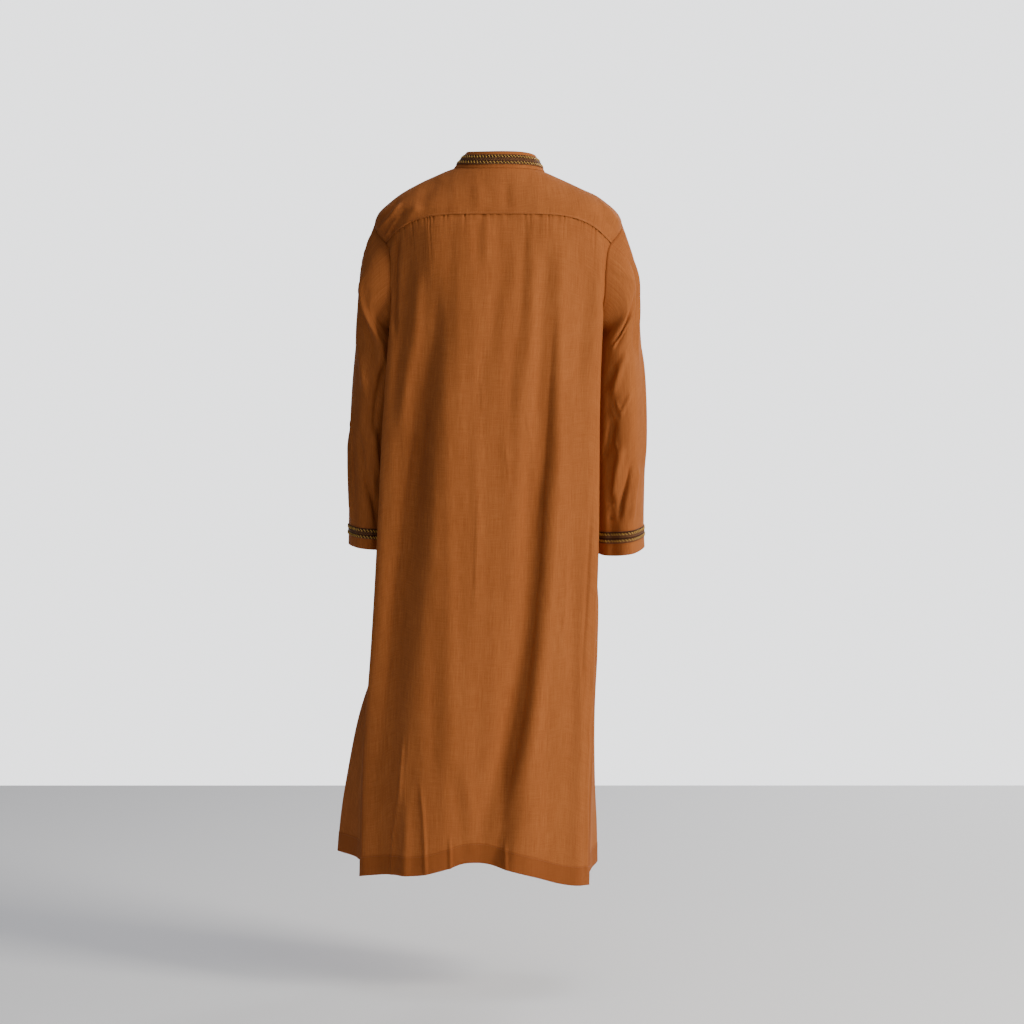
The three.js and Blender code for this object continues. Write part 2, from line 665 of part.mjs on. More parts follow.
function backGeometry() {
  const borders = {
    top: (u) => [lerp(-armholeAngle(YOKE_END), armholeAngle(YOKE_END), u), LEVEL.yoke],
    bottom: (u) => [lerp(-SIDE_SEAM.armpit, SIDE_SEAM.armpit, u), LEVEL.armpit],
    start: (v) => {
      const [angle, level] = armholeSpot(lerp(YOKE_END, 180, v));
      return [-angle, level];
    },
    end: (v) => armholeSpot(lerp(YOKE_END, 180, v)),
  };
  const row = (columns, spotAt) =>
    steps(columns).map((u, c) => spotAt(u, c === 0 ? -1 : c === columns ? 1 : 0));
  const rows = BACK_TURNS.map((turn, r) => {
    const v = r / BACK_ARMHOLE_ROWS;
    const loose = r <= GATHERED_ROWS ? GATHERS * GATHER_FACETS : BACK_COLUMNS;
    const columns = r === 0 ? YOKE_COLUMNS : loose;
    return row(columns, (u, side) => {
      const [angle, level] = patchSpot(borders, u, v);
      const spot = torsoSpot(1, angle, level);
      if (side) spot.normal = armholeNormal(side, turn);
      return spot;
    });
  });
  const skirt = SKIRT_LEVELS.map((level) =>
    row(BACK_COLUMNS, (u) => {
      const edge = backEdgeAngle(level);
      return torsoSpot(1, lerp(-edge, edge, u), level);
    }),
  );
  const all = [...rows, ...skirt];
  pull(all, 0, 1);
  pullEnds(all, 0, all.length - 1, [[0, 1], [-1, -2]]);
  return wallGeometry(all);
}

// A front's own edge at the slit lies inside the back's.
function frontSpot(side, angle, level) {
  const spot = torsoSpot(side, angle, level, HEM_FRONT);
  const near = 1 - ease((angle - sideSeamAngle(level)) / SLIT_TUCK_ANGLE);
  const tuck = SLIT_TUCK * near * ease(slitShare(level) / SLIT_TUCK_FULL);
  spot.point.addScaledVector(spot.normal, -tuck);
  return spot;
}

function frontGeometry(side) {
  const shoulder = SHOULDER_COLUMNS;
  const columns = shoulder + FRONT_NECK_COLUMNS;
  const neckFrom = shoulder / columns;
  const tip = armholeSpot(SHOULDER_END)[1];
  const edge = (level) => frontEdgeAngle(side, level);
  const borders = {
    top: (u) =>
      u < neckFrom
        ? [SHOULDER_SEAM_ANGLE, tip * (1 - u / neckFrom)]
        : [lerp(SHOULDER_SEAM_ANGLE, edge(0), (u - neckFrom) / (1 - neckFrom)), 0],
    bottom: (u) => [lerp(SIDE_SEAM.armpit, edge(LEVEL.armpit), u), LEVEL.armpit],
    start: (v) => armholeSpot(lerp(SHOULDER_END + 360, 180, v)),
    end: (v) => [edge(LEVEL.armpit * v), LEVEL.armpit * v],
  };
  const upper = FRONT_TURNS.map((turn, r) =>
    steps(columns).map((u, c) => {
      const [angle, level] = patchSpot(borders, u, r / FRONT_ARMHOLE_ROWS);
      const spot = frontSpot(side, angle, level);
      if (c === 0) spot.normal = armholeNormal(side, turn);
      else if (r === 0 && c >= shoulder) spot.normal = neckNormal(side * angle);
      return spot;
    }),
  );
  const skirt = SKIRT_LEVELS.map((level) => {
    const from = sideSeamAngle(level) + (SLIT_OPEN / 2) * slitShare(level);
    return steps(columns).map((u) => frontSpot(side, lerp(from, edge(level), u), level));
  });
  const rows = [...upper, ...skirt];
  pull(rows, 0, 1);
  pullEnds(rows, 0, rows.length - 1, [[0, 1]]);
  if (side < 0) for (const row of rows) row.reverse();
  return wallGeometry(rows);
}

// ---- The robe ----
const CLOTH = { color: 0xa86432, roughness: 0.62, metalness: 0 };
const TAPE = { color: 0x5a3a26, roughness: 0.55, metalness: 0 };

const robe = new THREE.Group();

function add(name, geometry, finish) {
  const mesh = new THREE.Mesh(geometry, new THREE.MeshStandardMaterial(finish));
  mesh.name = name;
  robe.add(mesh);
}

add("back_yoke", yokeGeometry(), CLOTH);
add("back_panel", backGeometry(), CLOTH);
add("collar_band", collarGeometry(), CLOTH);
add("collar_tape", collarTapeGeometry(), TAPE);
for (const [word, side] of [["left", 1], ["right", -1]]) {
  add(`front_${word}`, frontGeometry(side), CLOTH);
  add(`sleeve_${word}`, sleeveGeometry(side), CLOTH);
  add(`cuff_tape_${word}`, cuffTapeGeometry(side), TAPE);
}

export default robe;
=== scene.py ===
"""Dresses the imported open-front robe: every panel as a fine shell of cloth on its solid's own form,
with its gathers, creases, seams, hems and stitching, and the woven tape with its gold thread.

The robe hangs in the row's frame: +Z up, +X the wearer's left, +Y the wearer's back. Sizes here are
millimetres, as in the part, and become metres where a mesh is made. Materials, lights and the camera
are in metres.
"""

import math

import bpy
import numpy as np
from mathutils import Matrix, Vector


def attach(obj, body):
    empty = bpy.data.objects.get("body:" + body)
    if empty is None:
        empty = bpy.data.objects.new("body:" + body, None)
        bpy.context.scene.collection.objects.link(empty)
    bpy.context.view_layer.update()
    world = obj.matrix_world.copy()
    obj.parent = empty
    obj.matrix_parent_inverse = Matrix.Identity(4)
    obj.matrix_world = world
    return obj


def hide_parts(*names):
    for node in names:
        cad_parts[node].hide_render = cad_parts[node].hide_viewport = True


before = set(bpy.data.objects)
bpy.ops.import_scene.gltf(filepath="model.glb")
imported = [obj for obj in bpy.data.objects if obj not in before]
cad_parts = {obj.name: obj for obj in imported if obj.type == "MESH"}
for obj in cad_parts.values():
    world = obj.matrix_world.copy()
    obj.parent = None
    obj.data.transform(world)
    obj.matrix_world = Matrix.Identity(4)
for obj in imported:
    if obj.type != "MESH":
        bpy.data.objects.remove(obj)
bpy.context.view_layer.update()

MM = 0.001
HALVINGS = 30  # steps of a search that halves its range

# ---- Tables: rows with named columns, read as smooth curves through the rows ----
STEADY = ("zBack",)  # columns whose curve never turns back between two rows
STEEPEST = 2  # such a curve's slope at a row, in times the gentler side


class Table:
    """Rows with named columns. A first column of words gives the rows their names."""

    def __init__(self, columns, rows):
        names = columns.split()
        self.last = len(rows) - 1
        self.values = {
            name: np.array([row[i] for row in rows], float)
            for i, name in enumerate(names)
            if not isinstance(rows[0][i], str)
        }
        self.index = {row[0]: i for i, row in enumerate(rows)}

    @staticmethod
    def slope(name, before, here, after):
        """A curve's slope at a row, held down on the STEADY columns. The end rows keep the mean."""
        mean = (after - before) / 2
        if name not in STEADY:
            return mean
        steepest = STEEPEST * np.minimum(np.abs(here - before), np.abs(after - here))
        return np.where(steepest == 0, mean, np.clip(mean, -steepest, steepest))

    def at(self, name, place):
        """A column's value at a place counted in rows, on a smooth curve through the rows."""
        column = self.values[name]
        index = np.clip(np.floor(place), 0, self.last - 1).astype(int)
        t = np.clip(place - index, 0, 1)
        a = column[np.clip(index - 1, 0, self.last)]
        b = column[index]
        c = column[index + 1]
        d = column[np.clip(index + 2, 0, self.last)]
        m = self.slope(name, a, b, c)
        n = self.slope(name, b, c, d)
        return b + t * (m + t * (3 * (c - b) - 2 * m - n + t * (2 * (b - c) + m + n)))

    def place_of(self, name, value):
        """The place where a column that rises or falls down the table has a value."""
        value = np.asarray(value, float)
        low = np.zeros_like(value)
        high = np.full_like(value, self.last)
        rising = self.values[name][-1] > self.values[name][0]
        for _ in range(HALVINGS):
            middle = (low + high) / 2
            before = (self.at(name, middle) < value) == rising
            low = np.where(before, middle, low)
            high = np.where(before, high, middle)
        return (low + high) / 2


def rows_of(columns, rows):
    """The rows as plain dictionaries."""
    names = columns.split()
    return [dict(zip(names, row)) for row in rows]


# ---- The part's own sizes ----
HEM_Z = -1373  # the lowest stretch of the hem, before it is lifted
COLLAR_HEIGHT = 33
COLLAR_TAPE = (0.21, 0.79)  # shares of the collar's height between which its tape lies
CUFF_HEM_WIDTH = 19  # plain cloth below the cuff's tape
TAPE_WIDTH = 19
FRONT_GAP_NECK = 56  # between the two front edges
FRONT_GAP_HEM = 108
FRONT_CENTRE_SHARE = 0.5  # how much of the skirt's swing the opening follows
FRONT_EDGE_RANGE = (120, 180)  # angles between which each front edge lies
SIDE_CURVE = 4  # power that takes a ring's height from its middle to its side
WING_ANGLE = 62  # where the back's loose cloth stands out most, and over how many degrees
WING_WIDTH = 16

# The body is one surface, torso(angle, level). angle is in degrees, 0 at the centre back and 90 at
# the left side. level counts along these rows.
# zBack, zFront, zLeft, zRight: height at the middle of the back and front and at the two sides.
# left, right: half widths at the sides. shift: x of the middle. back, front: depths.
# box: exponent of the section, 2 is an ellipse and more is squarer.
# wingLeft, wingRight: how far the back's loose cloth stands out past the side, under the arm.
RINGS = Table("name zBack zFront zLeft zRight left right shift back front box wingLeft wingRight", [
    ("neck", 6, -52, 9, 2, 89, 86, 0, 62, 60, 2.0, 0, 0),
    ("collarbone", -26, -82, -18, -27, 152, 150, 1, 84, 84, 2.1, 0, 0),
    ("shoulder", -50, -100, -50, -54, 205, 201, 2, 96, 98, 2.3, 0, 0),
    ("tip", -66, -113, -93, -93, 242, 235, 3, 101, 104, 2.4, 0, 0),
    ("yoke", -82, -128, -150, -150, 229, 223, 3, 106, 108, 2.5, 0, 0),
    ("chest", -200, -205, -205, -205, 200, 194, 3, 116, 118, 2.8, 24, 22),
    ("armpit", -292, -292, -292, -292, 180, 174, 5, 121, 124, 2.9, 45, 35),
    ("waist", -450, -450, -450, -450, 188, 170, 12, 120, 124, 2.9, 50, 35),
    ("hip", -700, -700, -700, -700, 198, 170, 18, 119, 127, 2.9, 53, 34),
    ("thigh", -900, -900, -900, -900, 220, 172, 28, 122, 134, 2.8, 44, 26),
    ("knee", -1114, -1114, -1114, -1114, 250, 170, 40, 127, 142, 2.7, 32, 23),
    ("hem", HEM_Z, HEM_Z, HEM_Z, HEM_Z, 262, 171, 46, 132, 150, 2.6, 27, 16),
])
YOKE_LEVEL = RINGS.index["yoke"]
CHEST_LEVEL = RINGS.index["chest"]
ARMPIT_LEVEL = RINGS.index["armpit"]
HEM_LEVEL = RINGS.index["hem"]
YOKE_TO_CHEST = RINGS.values["zBack"][YOKE_LEVEL] - RINGS.values["zBack"][CHEST_LEVEL]

# top, middle, hem: a fold's angle at three heights. minus, plus: its widths in degrees towards the
# right and the left. start, full: heights where it begins and where it is whole.
# out: how far it stands out, or in if negative. across: true if it moves sideways only.
FOLD_TOP_Z = -120
FOLD_COLUMNS = "name top middle hem minus plus start full out across"
FOLDS = rows_of(FOLD_COLUMNS, [
    ("left valley", 29, 46, 49, 10, 8, -130, -420, -15, False),
    ("centre valley", -27, -23, -4, 4.5, 12, -170, -620, -13, False),
    ("centre ridge", -36, -32, -14, 13, 5, -170, -620, 7, False),
    ("right ridge", -55, -54, -53, 4, 5, -600, -900, 5, False),
    ("hem scoop", 8, 8, 7, 8, 9, -1060, -1330, -12, False),
    ("left crease", 36, 36, 33, 4, 4, -1000, -1280, 6, False),
    ("left front fold", 140, 142, 140, 8, 9, -320, -800, -13, False),
    ("right front fold", -138, -140, -142, 9, 8, -300, -760, -13, False),
    ("left front roll", 161, 160, 158, 6, 7, -360, -900, 7, False),
    ("right front roll", -160, -161, -158, 7, 6, -360, -900, 7, False),
    ("left flare", 112, 112, 112, 18, 18, -640, -1420, 74, True),
    ("right flare", -112, -112, -112, 18, 18, -560, -850, 32, True),
])

SHOULDER_SEAM_ANGLE = 84
# The armhole: levels of its top, its widest place and the armpit, and its half widths in degrees.
ARMHOLE_TOP = 3.05
ARMHOLE_WIDEST = 5
ARMHOLE_BOTTOM = 6
ARMHOLE_BACK = 26
ARMHOLE_FRONT = 24
ARMHOLE_PEAK = 2  # how slowly it widens below its top
SIDE_SEAM_ARMPIT = 90  # angles of the side seam, which swings to the back
SIDE_SEAM_HEM = 69
SLIT_TOP_Z = -900
SLIT_OPEN = 2.2  # degrees between the slit's edges at the hem
SLIT_TUCK = 7  # how far the front's edge lies inside the back's at the hem
SLIT_TUCK_ANGLE = 14  # degrees of the front over which it tucks in
SLIT_TUCK_FULL = 0.5  # share of the slit's height by which it is tucked in whole
# Where the yoke seam and the shoulder seam meet the armhole, counted in degrees round it.
YOKE_END_COSINE = (ARMHOLE_WIDEST - YOKE_LEVEL) / (ARMHOLE_WIDEST - ARMHOLE_TOP)
YOKE_END = math.degrees(math.acos(YOKE_END_COSINE))
SHOULDER_END_SINE = ((90 - SHOULDER_SEAM_ANGLE) / ARMHOLE_BACK) ** (1 / ARMHOLE_PEAK)
SHOULDER_END = math.degrees(math.asin(SHOULDER_END_SINE))
ARMPIT_TURN = 180

# How far the hem is lifted above HEM_Z round the back and round the fronts.
HEM_BACK = Table("angle lift", [
    (-90, -20), (-69, -8), (-45, 1), (-24, 21), (-10, 36), (1, 47),
    (12, 34), (24, 23), (45, 19), (69, 9), (90, 0),
])
HEM_FRONT = Table("angle lift", [
    (-180, 12), (-115, 18), (-70, 10), (70, 30), (115, 36), (150, 22), (180, 18),
])
HEM_LIFT_FROM = -980  # height where the lift starts to show in the cloth

# outer, inner: distances of a sleeve's two sides from the middle plane, level by level.
# back, front: y of its back and front. droop, dip: how much lower its inner side and its back are.
SLEEVE_COLUMNS = "z outer inner back front droop dip"
SLEEVES = {
    1: Table(SLEEVE_COLUMNS, [
        (-335, 282, 188, 48, -92, 0, 0),
        (-410, 289, 192, 46, -92, 0, 0),
        (-500, 294, 198, 44, -92, 2, 1),
        (-600, 296, 203, 42, -94, 5, 2),
        (-672, 297, 206, 41, -98, 8, 4),
        (-717, 298, 208, 41, -102, 10, 6),
    ]),
    -1: Table(SLEEVE_COLUMNS, [
        (-335, 274, 188, 50, -92, 0, 0),
        (-410, 281, 184, 50, -92, 0, 0),
        (-500, 284, 183, 49, -94, 2, 2),
        (-600, 282, 184, 47, -97, 6, 5),
        (-672, 281, 187, 45, -101, 9, 9),
        (-716, 283, 189, 44, -105, 11, 18),
    ]),
}
# How much the sleeve leans out where it leaves the armhole, at its top and at the armpit, and how
# far it keeps that way at the armpit, as a share of its way at the top.
SLEEVE_LEAN_TOP = 0.3
SLEEVE_LEAN_ARMPIT = 4.6
SLEEVE_LEAN_PACE = 0.5
# Angles go round the sleeve, with 0 at its outer side and 90 at its back.
SLEEVE_FOLDS = rows_of(FOLD_COLUMNS, [
    ("back valley", 118, 112, 122, 17, 14, -300, -560, -8, False),
    ("back ridge", 62, 68, 72, 16, 16, -250, -500, 4, False),
    ("front valley", 300, 296, 300, 18, 16, -300, -560, -7, False),
])
# The collar's top edge: half width, x of its middle, depths, and height above the neck in front.
COLLAR_TOP_HALF = 66
COLLAR_TOP_SHIFT = -4
COLLAR_TOP_BACK = 51
COLLAR_TOP_FRONT = 52
COLLAR_FRONT_RISE = 29

# ---- Finer form, which only the shells have ----
CLOTH_THICKNESS = 0.7
COLLAR_THICKNESS = 1.7
TAPE_THICKNESS = 0.9
GATHERS = 46
GATHER_DEPTH = 3.4
GATHER_RISE = 4.5  # below the seam, where they are fullest
GATHER_FADE = 15  # below the seam, over which they die away
GATHER_SHARPNESS = 2.4  # power that makes the troughs narrower than the cloth between them
GATHER_DRIFT = 0.4  # how far a gather strays from its even place, in gathers
GATHER_DRIFT_PACES = (1.9, 0.71)  # of the two waves that it strays by, in radians a gather
# How deep each of a run of gathers is, and how far it reaches down, from one side to the other.
GATHER_DEPTHS = (1.0, 0.5, 1.3, 0.4, 0.9, 1.5, 0.3, 1.1, 0.6, 1.2, 0.8)
GATHER_REACH = (1.0, 1.9, 0.7, 1.2, 0.8, 2.6, 0.9, 1.3, 0.6)
YOKE_LAP = 5  # how far the yoke's folded edge hangs over the back
SEAM_ROLL = 1.0  # how far a seam's edge stands out
SEAM_ROLL_WIDTH = 3.5
SEAM_TUCK = 1.8  # how far the back lies in behind the yoke's folded edge
SEAM_TUCK_REACH = 0.05  # levels below the seam over which it comes out again
HEM_TURN = 38  # width of the turned-up hem
EDGE_TURN = 12  # width of the turned edges of fronts and slits
TURN_RISE = 0.6  # how far a turned-up hem stands out from the single cloth beside it
TURN_STEP = 1.6  # width of the step where it ends
STITCH_PITCH = 3.4
STITCH_LENGTH = 2.5
STITCH_RADIUS = 0.22
STITCH_FROM_FOLD = 2.0  # from a fold, or from a turned hem's inner edge, to its stitches


def ease(t):
    t = np.clip(t, 0, 1)
    return t * t * (3 - 2 * t)


def signed_power(value, power):
    return np.sign(value) * np.abs(value) ** power


def mix(a, b, t):
    return a + (b - a) * t


def sin(degrees):
    return np.sin(np.radians(degrees))


def cos(degrees):
    return np.cos(np.radians(degrees))


def stack(*parts):
    """Arrays of one shape as the last axis of one array."""
    return np.stack(parts, axis=-1)


def normalized(vectors):
    return vectors / np.maximum(np.linalg.norm(vectors, axis=-1, keepdims=True), 1e-12)


# ---- The body's surface and its seams, as in the part ----
# turn counts round the armhole: 0 at its top, 90 at the back, 180 at the armpit, 270 in front.
def fold_push(folds, angle, z, wraps=False):
    """How far folds move the cloth out and across. wraps: the angles run all the way round."""
    fall = np.clip((FOLD_TOP_Z - z) / (FOLD_TOP_Z - HEM_Z), 0, 1)
    out = np.zeros_like(z)
    across = np.zeros_like(z)
    for fold in folds:
        centre = (
            fold["top"] * (1 - 2 * fall) * (1 - fall)
            + fold["middle"] * 4 * fall * (1 - fall)
            + fold["hem"] * fall * (2 * fall - 1)
        )
        away = angle - centre
        if wraps:
            away = (away + 180) % 360 - 180
        width = np.where(away < 0, fold["minus"], fold["plus"])
        depth = fold["out"] * ease((fold["start"] - z) / (fold["start"] - fold["full"]))
        push = depth * np.exp(-((away / width) ** 2))
        if fold["across"]:
            across = across + push
        else:
            out = out + push
    return out, across


def hem_lift(angle, z, table):
    lift = table.at("lift", table.place_of("angle", angle))
    return lift * ease((HEM_LIFT_FROM - z) / (HEM_LIFT_FROM - HEM_Z))


def torso(angle, level, hem=HEM_BACK):
    """The body's surface, which the yoke, the back and the fronts are patches of."""
    ring = {name: RINGS.at(name, level) for name in RINGS.values}
    sine = sin(angle)
    cosine = cos(angle)
    left = sine > 0
    half = np.where(left, ring["left"] - ring["shift"], ring["right"] + ring["shift"])
    depth = np.where(cosine > 0, ring["back"], ring["front"])
    z_middle = np.where(cosine > 0, ring["zBack"], ring["zFront"])
    z_side = np.where(left, ring["zLeft"], ring["zRight"])
    z = mix(z_middle, z_side, np.abs(sine) ** SIDE_CURVE)
    wing = np.where(left, ring["wingLeft"], ring["wingRight"])
    wing = wing * np.exp(-(((np.abs(angle) - WING_ANGLE) / WING_WIDTH) ** 2))
    out, across = fold_push(FOLDS, angle, z)
    power = 2 - 2 / ring["box"]
    flat = stack(signed_power(sine, power) / half, signed_power(cosine, power) / depth)
    flat = normalized(flat)
    x = ring["shift"] + half * signed_power(sine, 2 / ring["box"])
    x = x + np.sign(sine) * (wing + across) + out * flat[..., 0]
    y = depth * signed_power(cosine, 2 / ring["box"]) + out * flat[..., 1]
    return stack(x, y, z + hem_lift(angle, z, hem))


def armhole_angle(turn):
    s = sin(turn)
    power = np.where(cos(turn) > 0, ARMHOLE_PEAK, 1)
    return 90 - np.where(s > 0, ARMHOLE_BACK, -ARMHOLE_FRONT) * np.abs(s) ** power


def armhole_spot(turn):
    """Angle and level of a spot of the armhole."""
    c = cos(turn)
    end = np.where(c > 0, ARMHOLE_TOP, ARMHOLE_BOTTOM)
    return stack(armhole_angle(turn), mix(ARMHOLE_WIDEST, end, np.abs(c)))


SHOULDER_END_LEVEL = float(armhole_spot(SHOULDER_END)[1])


def front_edge_angle(side, level):
    """The angle of a front edge at a level, on the left side or mirrored for the right."""
    level = np.asarray(level, float)
    gap = mix(FRONT_GAP_NECK, FRONT_GAP_HEM, level / HEM_LEVEL)
    target = RINGS.at("shift", level) * FRONT_CENTRE_SHARE + side * gap / 2
    low = np.full_like(level, FRONT_EDGE_RANGE[0])
    high = np.full_like(level, FRONT_EDGE_RANGE[1])
    for _ in range(HALVINGS):
        middle = (low + high) / 2
        x = torso(side * middle, level, HEM_FRONT)[..., 0]
        outside = side * (x - target) > 0
        low = np.where(outside, middle, low)
        high = np.where(outside, high, middle)
    return (low + high) / 2


def side_seam_angle(level):
    t = ease((level - ARMPIT_LEVEL) / (HEM_LEVEL - ARMPIT_LEVEL))
    return mix(SIDE_SEAM_ARMPIT, SIDE_SEAM_HEM, t)


def slit_share(level):
    """How far below the top of the slit a level is, 0 above it and 1 at the hem."""
    z = RINGS.at("zLeft", level)
    return np.clip((SLIT_TOP_Z - z) / (SLIT_TOP_Z - HEM_Z), 0, 1)


def patch(top, bottom, start, end, u, v):
    """Angles and levels between four border lines, for columns u and rows v."""
    u = u[None, :, None]
    v_column = v[:, None, None]
    borders = top(u[0, :, 0])[None] * (1 - v_column) + bottom(u[0, :, 0])[None] * v_column
    sides = start(v)[:, None] * (1 - u) + end(v)[:, None] * u
    corners = [line(np.array([t]))[0] for line in (top, bottom) for t in (0.0, 1.0)]
    upper = mix(corners[0], corners[1], u)
    lower = mix(corners[2], corners[3], u)
    spots = borders + sides - mix(upper, lower, v_column)
    return spots[..., 0], spots[..., 1]


def level_line(start, end, level):
    """A border line that runs from one angle to another on one level."""
    return lambda u: stack(mix(start, end, u), 0 * u + level)


def back_patch(top, bottom, first_turn, last_turn, u, v):
    """A patch across the back, whose two sides run down the armholes between two turns."""

    def end(v):
        return armhole_spot(mix(first_turn, last_turn, v))

    return patch(top, bottom, lambda v: end(v) * np.array([-1, 1]), end, u, v)


def with_skirt(angle, level, skirt, start, end, u):
    """A panel's grid with the rows of its skirt added, whose angles run from start to end."""
    skirt_angle = mix(start[:, None], end[:, None], u[None, :])
    skirt_level = skirt[:, None] + 0 * u[None, :]
    return np.concatenate([angle, skirt_angle]), np.concatenate([level, skirt_level])


# ---- The sleeves' surface, as in the part ----
# place: -1 at the armhole, 0 at the table's first row, and on to its last at the cuff.
def sleeve_arm(side, turn, place):
    table = SLEEVES[side]
    row = {name: table.at(name, place) for name in table.values}
    c = cos(turn)
    s = sin(turn)
    out, _ = fold_push(SLEEVE_FOLDS, turn, row["z"] + 0 * turn, wraps=True)
    half_width = (row["outer"] - row["inner"]) / 2 + out
    half_depth = (row["back"] - row["front"]) / 2 + out
    return stack(
        side * ((row["outer"] + row["inner"]) / 2 + half_width * c),
        (row["back"] + row["front"]) / 2 + half_depth * s,
        row["z"] - (row["droop"] * (1 - c) + row["dip"] * (1 + s)) / 2,
    )


def sleeve_head(side, turn, t):
    """The sleeve between the armhole, at t 0, and the table's first row, at t 1."""
    spot = armhole_spot(turn)
    start = torso(side * spot[..., 0], spot[..., 1])
    end = sleeve_arm(side, turn, np.zeros_like(t))
    length = np.linalg.norm(start - end, axis=-1)
    share = (1 - cos(turn)) / 2  # 0 at the armhole's top, 1 at the armpit
    out = side * mix(SLEEVE_LEAN_TOP, SLEEVE_LEAN_ARMPIT, share)
    pace = length * mix(1, SLEEVE_LEAN_PACE, share)
    lean = stack(out * pace, 0 * length, -pace)
    drop = stack(0 * length, 0 * length, -length)
    t = t[..., None]
    return (
        start * (2 * t**3 - 3 * t**2 + 1)
        + lean * (t**3 - 2 * t**2 + t)
        + end * (3 * t**2 - 2 * t**3)
        + drop * (t**3 - t**2)
    )


def sleeve(side, turn, place):
    head = sleeve_head(side, turn, np.clip(place + 1, 0, 1))
    arm = sleeve_arm(side, turn, np.maximum(place, 0))
    return np.where((place < 0)[..., None], head, arm)


# ---- The collar's surface, as in the part ----
def collar(angle, share):
    """The collar at an angle, from the neck seam at share 0 to its top edge at share 1."""
    base = torso(angle, np.zeros_like(angle))
    sine = sin(angle)
    cosine = cos(angle)
    rise = mix(COLLAR_HEIGHT, COLLAR_FRONT_RISE, (1 - cosine) / 2)
    top = stack(
        COLLAR_TOP_SHIFT * (1 + cosine) / 2 + COLLAR_TOP_HALF * sine,
        np.where(cosine > 0, COLLAR_TOP_BACK, COLLAR_TOP_FRONT) * cosine,
        base[..., 2] + rise,
    )
    return mix(base, top, share[..., None])


# ---- Creases: soft ridges and troughs, laid one by one ----
# Each runs through its own points, given as across and z. Across is x on the body, and the turn
# round a sleeve in degrees. width, height: of the ridge, or of the trough if the height is negative.
CREASE_FADE = 4  # a crease is whole once it is a quarter of its length from either end


def creases(*rows):
    """Rows of width, height and points."""
    return [(width, height, np.array(points, float)) for width, height, *points in rows]


BACK_CREASES = creases(
    # the left side, which falls away from the light over one long, wide roll
    (62, 9.0, (70, 320), (76, -60), (84, -200), (92, -400), (100, -620), (106, -900),
     (98, -1150), (90, -1400), (86, -1800)),
    (22, 3.6, (124, -60), (128, -170), (134, -314), (150, -457), (160, -600)),
    (34, 4.6, (96, -250), (103, -400), (108, -533), (120, -628), (134, -723), (146, -819),
     (154, -914), (158, -1009), (152, -1104), (142, -1260)),
    (13, 4.2, (146, -150), (156, -247), (162, -314), (174, -381), (186, -457), (196, -540)),
    (12, -2.4, (172, -150), (181, -247), (188, -314), (197, -381), (206, -450), (210, -520)),
    (17, -6.5, (138, -420), (154, -520), (170, -628), (184, -723), (196, -819), (204, -914)),
    # short ones out of the gathers
    (9, 1.3, (22, -40), (24, -190)),
    (9, -1.5, (42, -40), (44, -190)),
    (7, -1.1, (4, -60), (0, -190)),
    (6, -1.2, (-48, -60), (-50, -180)),
    (13, -1.5, (-8, -92), (-4, -190), (18, -300), (44, -430), (48, -540)),
    (13, 1.4, (-34, -92), (-28, -190), (-8, -300), (12, -430), (18, -540)),
    (11, 1.8, (-58, -96), (-66, -190), (-60, -300), (-46, -400), (-30, -520)),
    (9, -1.4, (-38, -96), (-44, -190), (-36, -300), (-22, -400), (-8, -500)),
    # the long fold right of the middle, weak under the yoke and deep down the skirt
    (15, 4.4, (-124, -100), (-118, -200), (-112, -330), (-106, -440), (-100, -560)),
    (14, -4.4, (-92, -100), (-86, -200), (-80, -330), (-72, -440), (-62, -560)),
    (17, 9.0, (-106, -440), (-101, -533), (-95, -628), (-89, -723), (-82, -819), (-76, -914),
     (-67, -1009), (-54, -1104), (-24, -1200), (2, -1276), (16, -1350)),
    (19, -8.6, (-66, -440), (-60, -533), (-54, -628), (-48, -723), (-42, -819), (-36, -914),
     (-26, -1009), (-12, -1104), (18, -1200), (44, -1276), (56, -1350)),
    (14, -3.0, (-166, -150), (-164, -247), (-154, -340), (-142, -450)),
    (10, 2.2, (-188, -180), (-184, -300), (-176, -400)),
    # the skirt
    (17, -2.2, (98, -1120), (80, -1220), (68, -1345)),
    (15, 2.2, (68, -1130), (54, -1220), (44, -1345)),
    (9, 1.8, (-30, -1010), (-14, -1090), (2, -1160), (12, -1240)),
    (11, -2.6, (-168, -600), (-168, -760), (-170, -900), (-172, -1150)),
    (2.8, 3.8, (181, -1060), (192, -1200), (204, -1276), (210, -1400)),
    (9, -2.4, (174, -1120), (184, -1223), (194, -1290), (198, -1350)),
    (4, -2.4, (-176, -600), (-171, -740), (-165, -850), (-159, -925), (-165, -1060)),
    (3.0, 3.6, (-176, -1000), (-170, -1110), (-166, -1200), (-168, -1380)),
    (3.4, 2.8, (154, -1160), (146, -1240), (142, -1380)),
    # tucks in the hem
    (3.2, 3.2, (99, -1270), (98, -1370)),
    (3.2, 3.0, (-11, -1280), (-13, -1370)),
    # small ones beside the armholes
    (3.0, 2.4, (203, -120), (211, -170), (214, -230)),
    (5.0, -6.0, (195, -100), (201, -180), (203, -270), (202, -330)),
    (4.0, -3.6, (-200, -120), (-200, -200), (-196, -280)),
    (3.0, 1.8, (-196, -130), (-199, -200), (-198, -260)),
    # fine drag lines
    (2.6, 1.7, (-7, -520), (-20, -580)),
    (2.6, 1.7, (-48, -460), (-66, -540)),
    (2.6, 1.2, (40, -600), (46, -760), (48, -860)),
    (2.6, 1.4, (34, -400), (32, -460)),
    (2.6, 1.2, (-130, -700), (-126, -820), (-118, -900)),
)
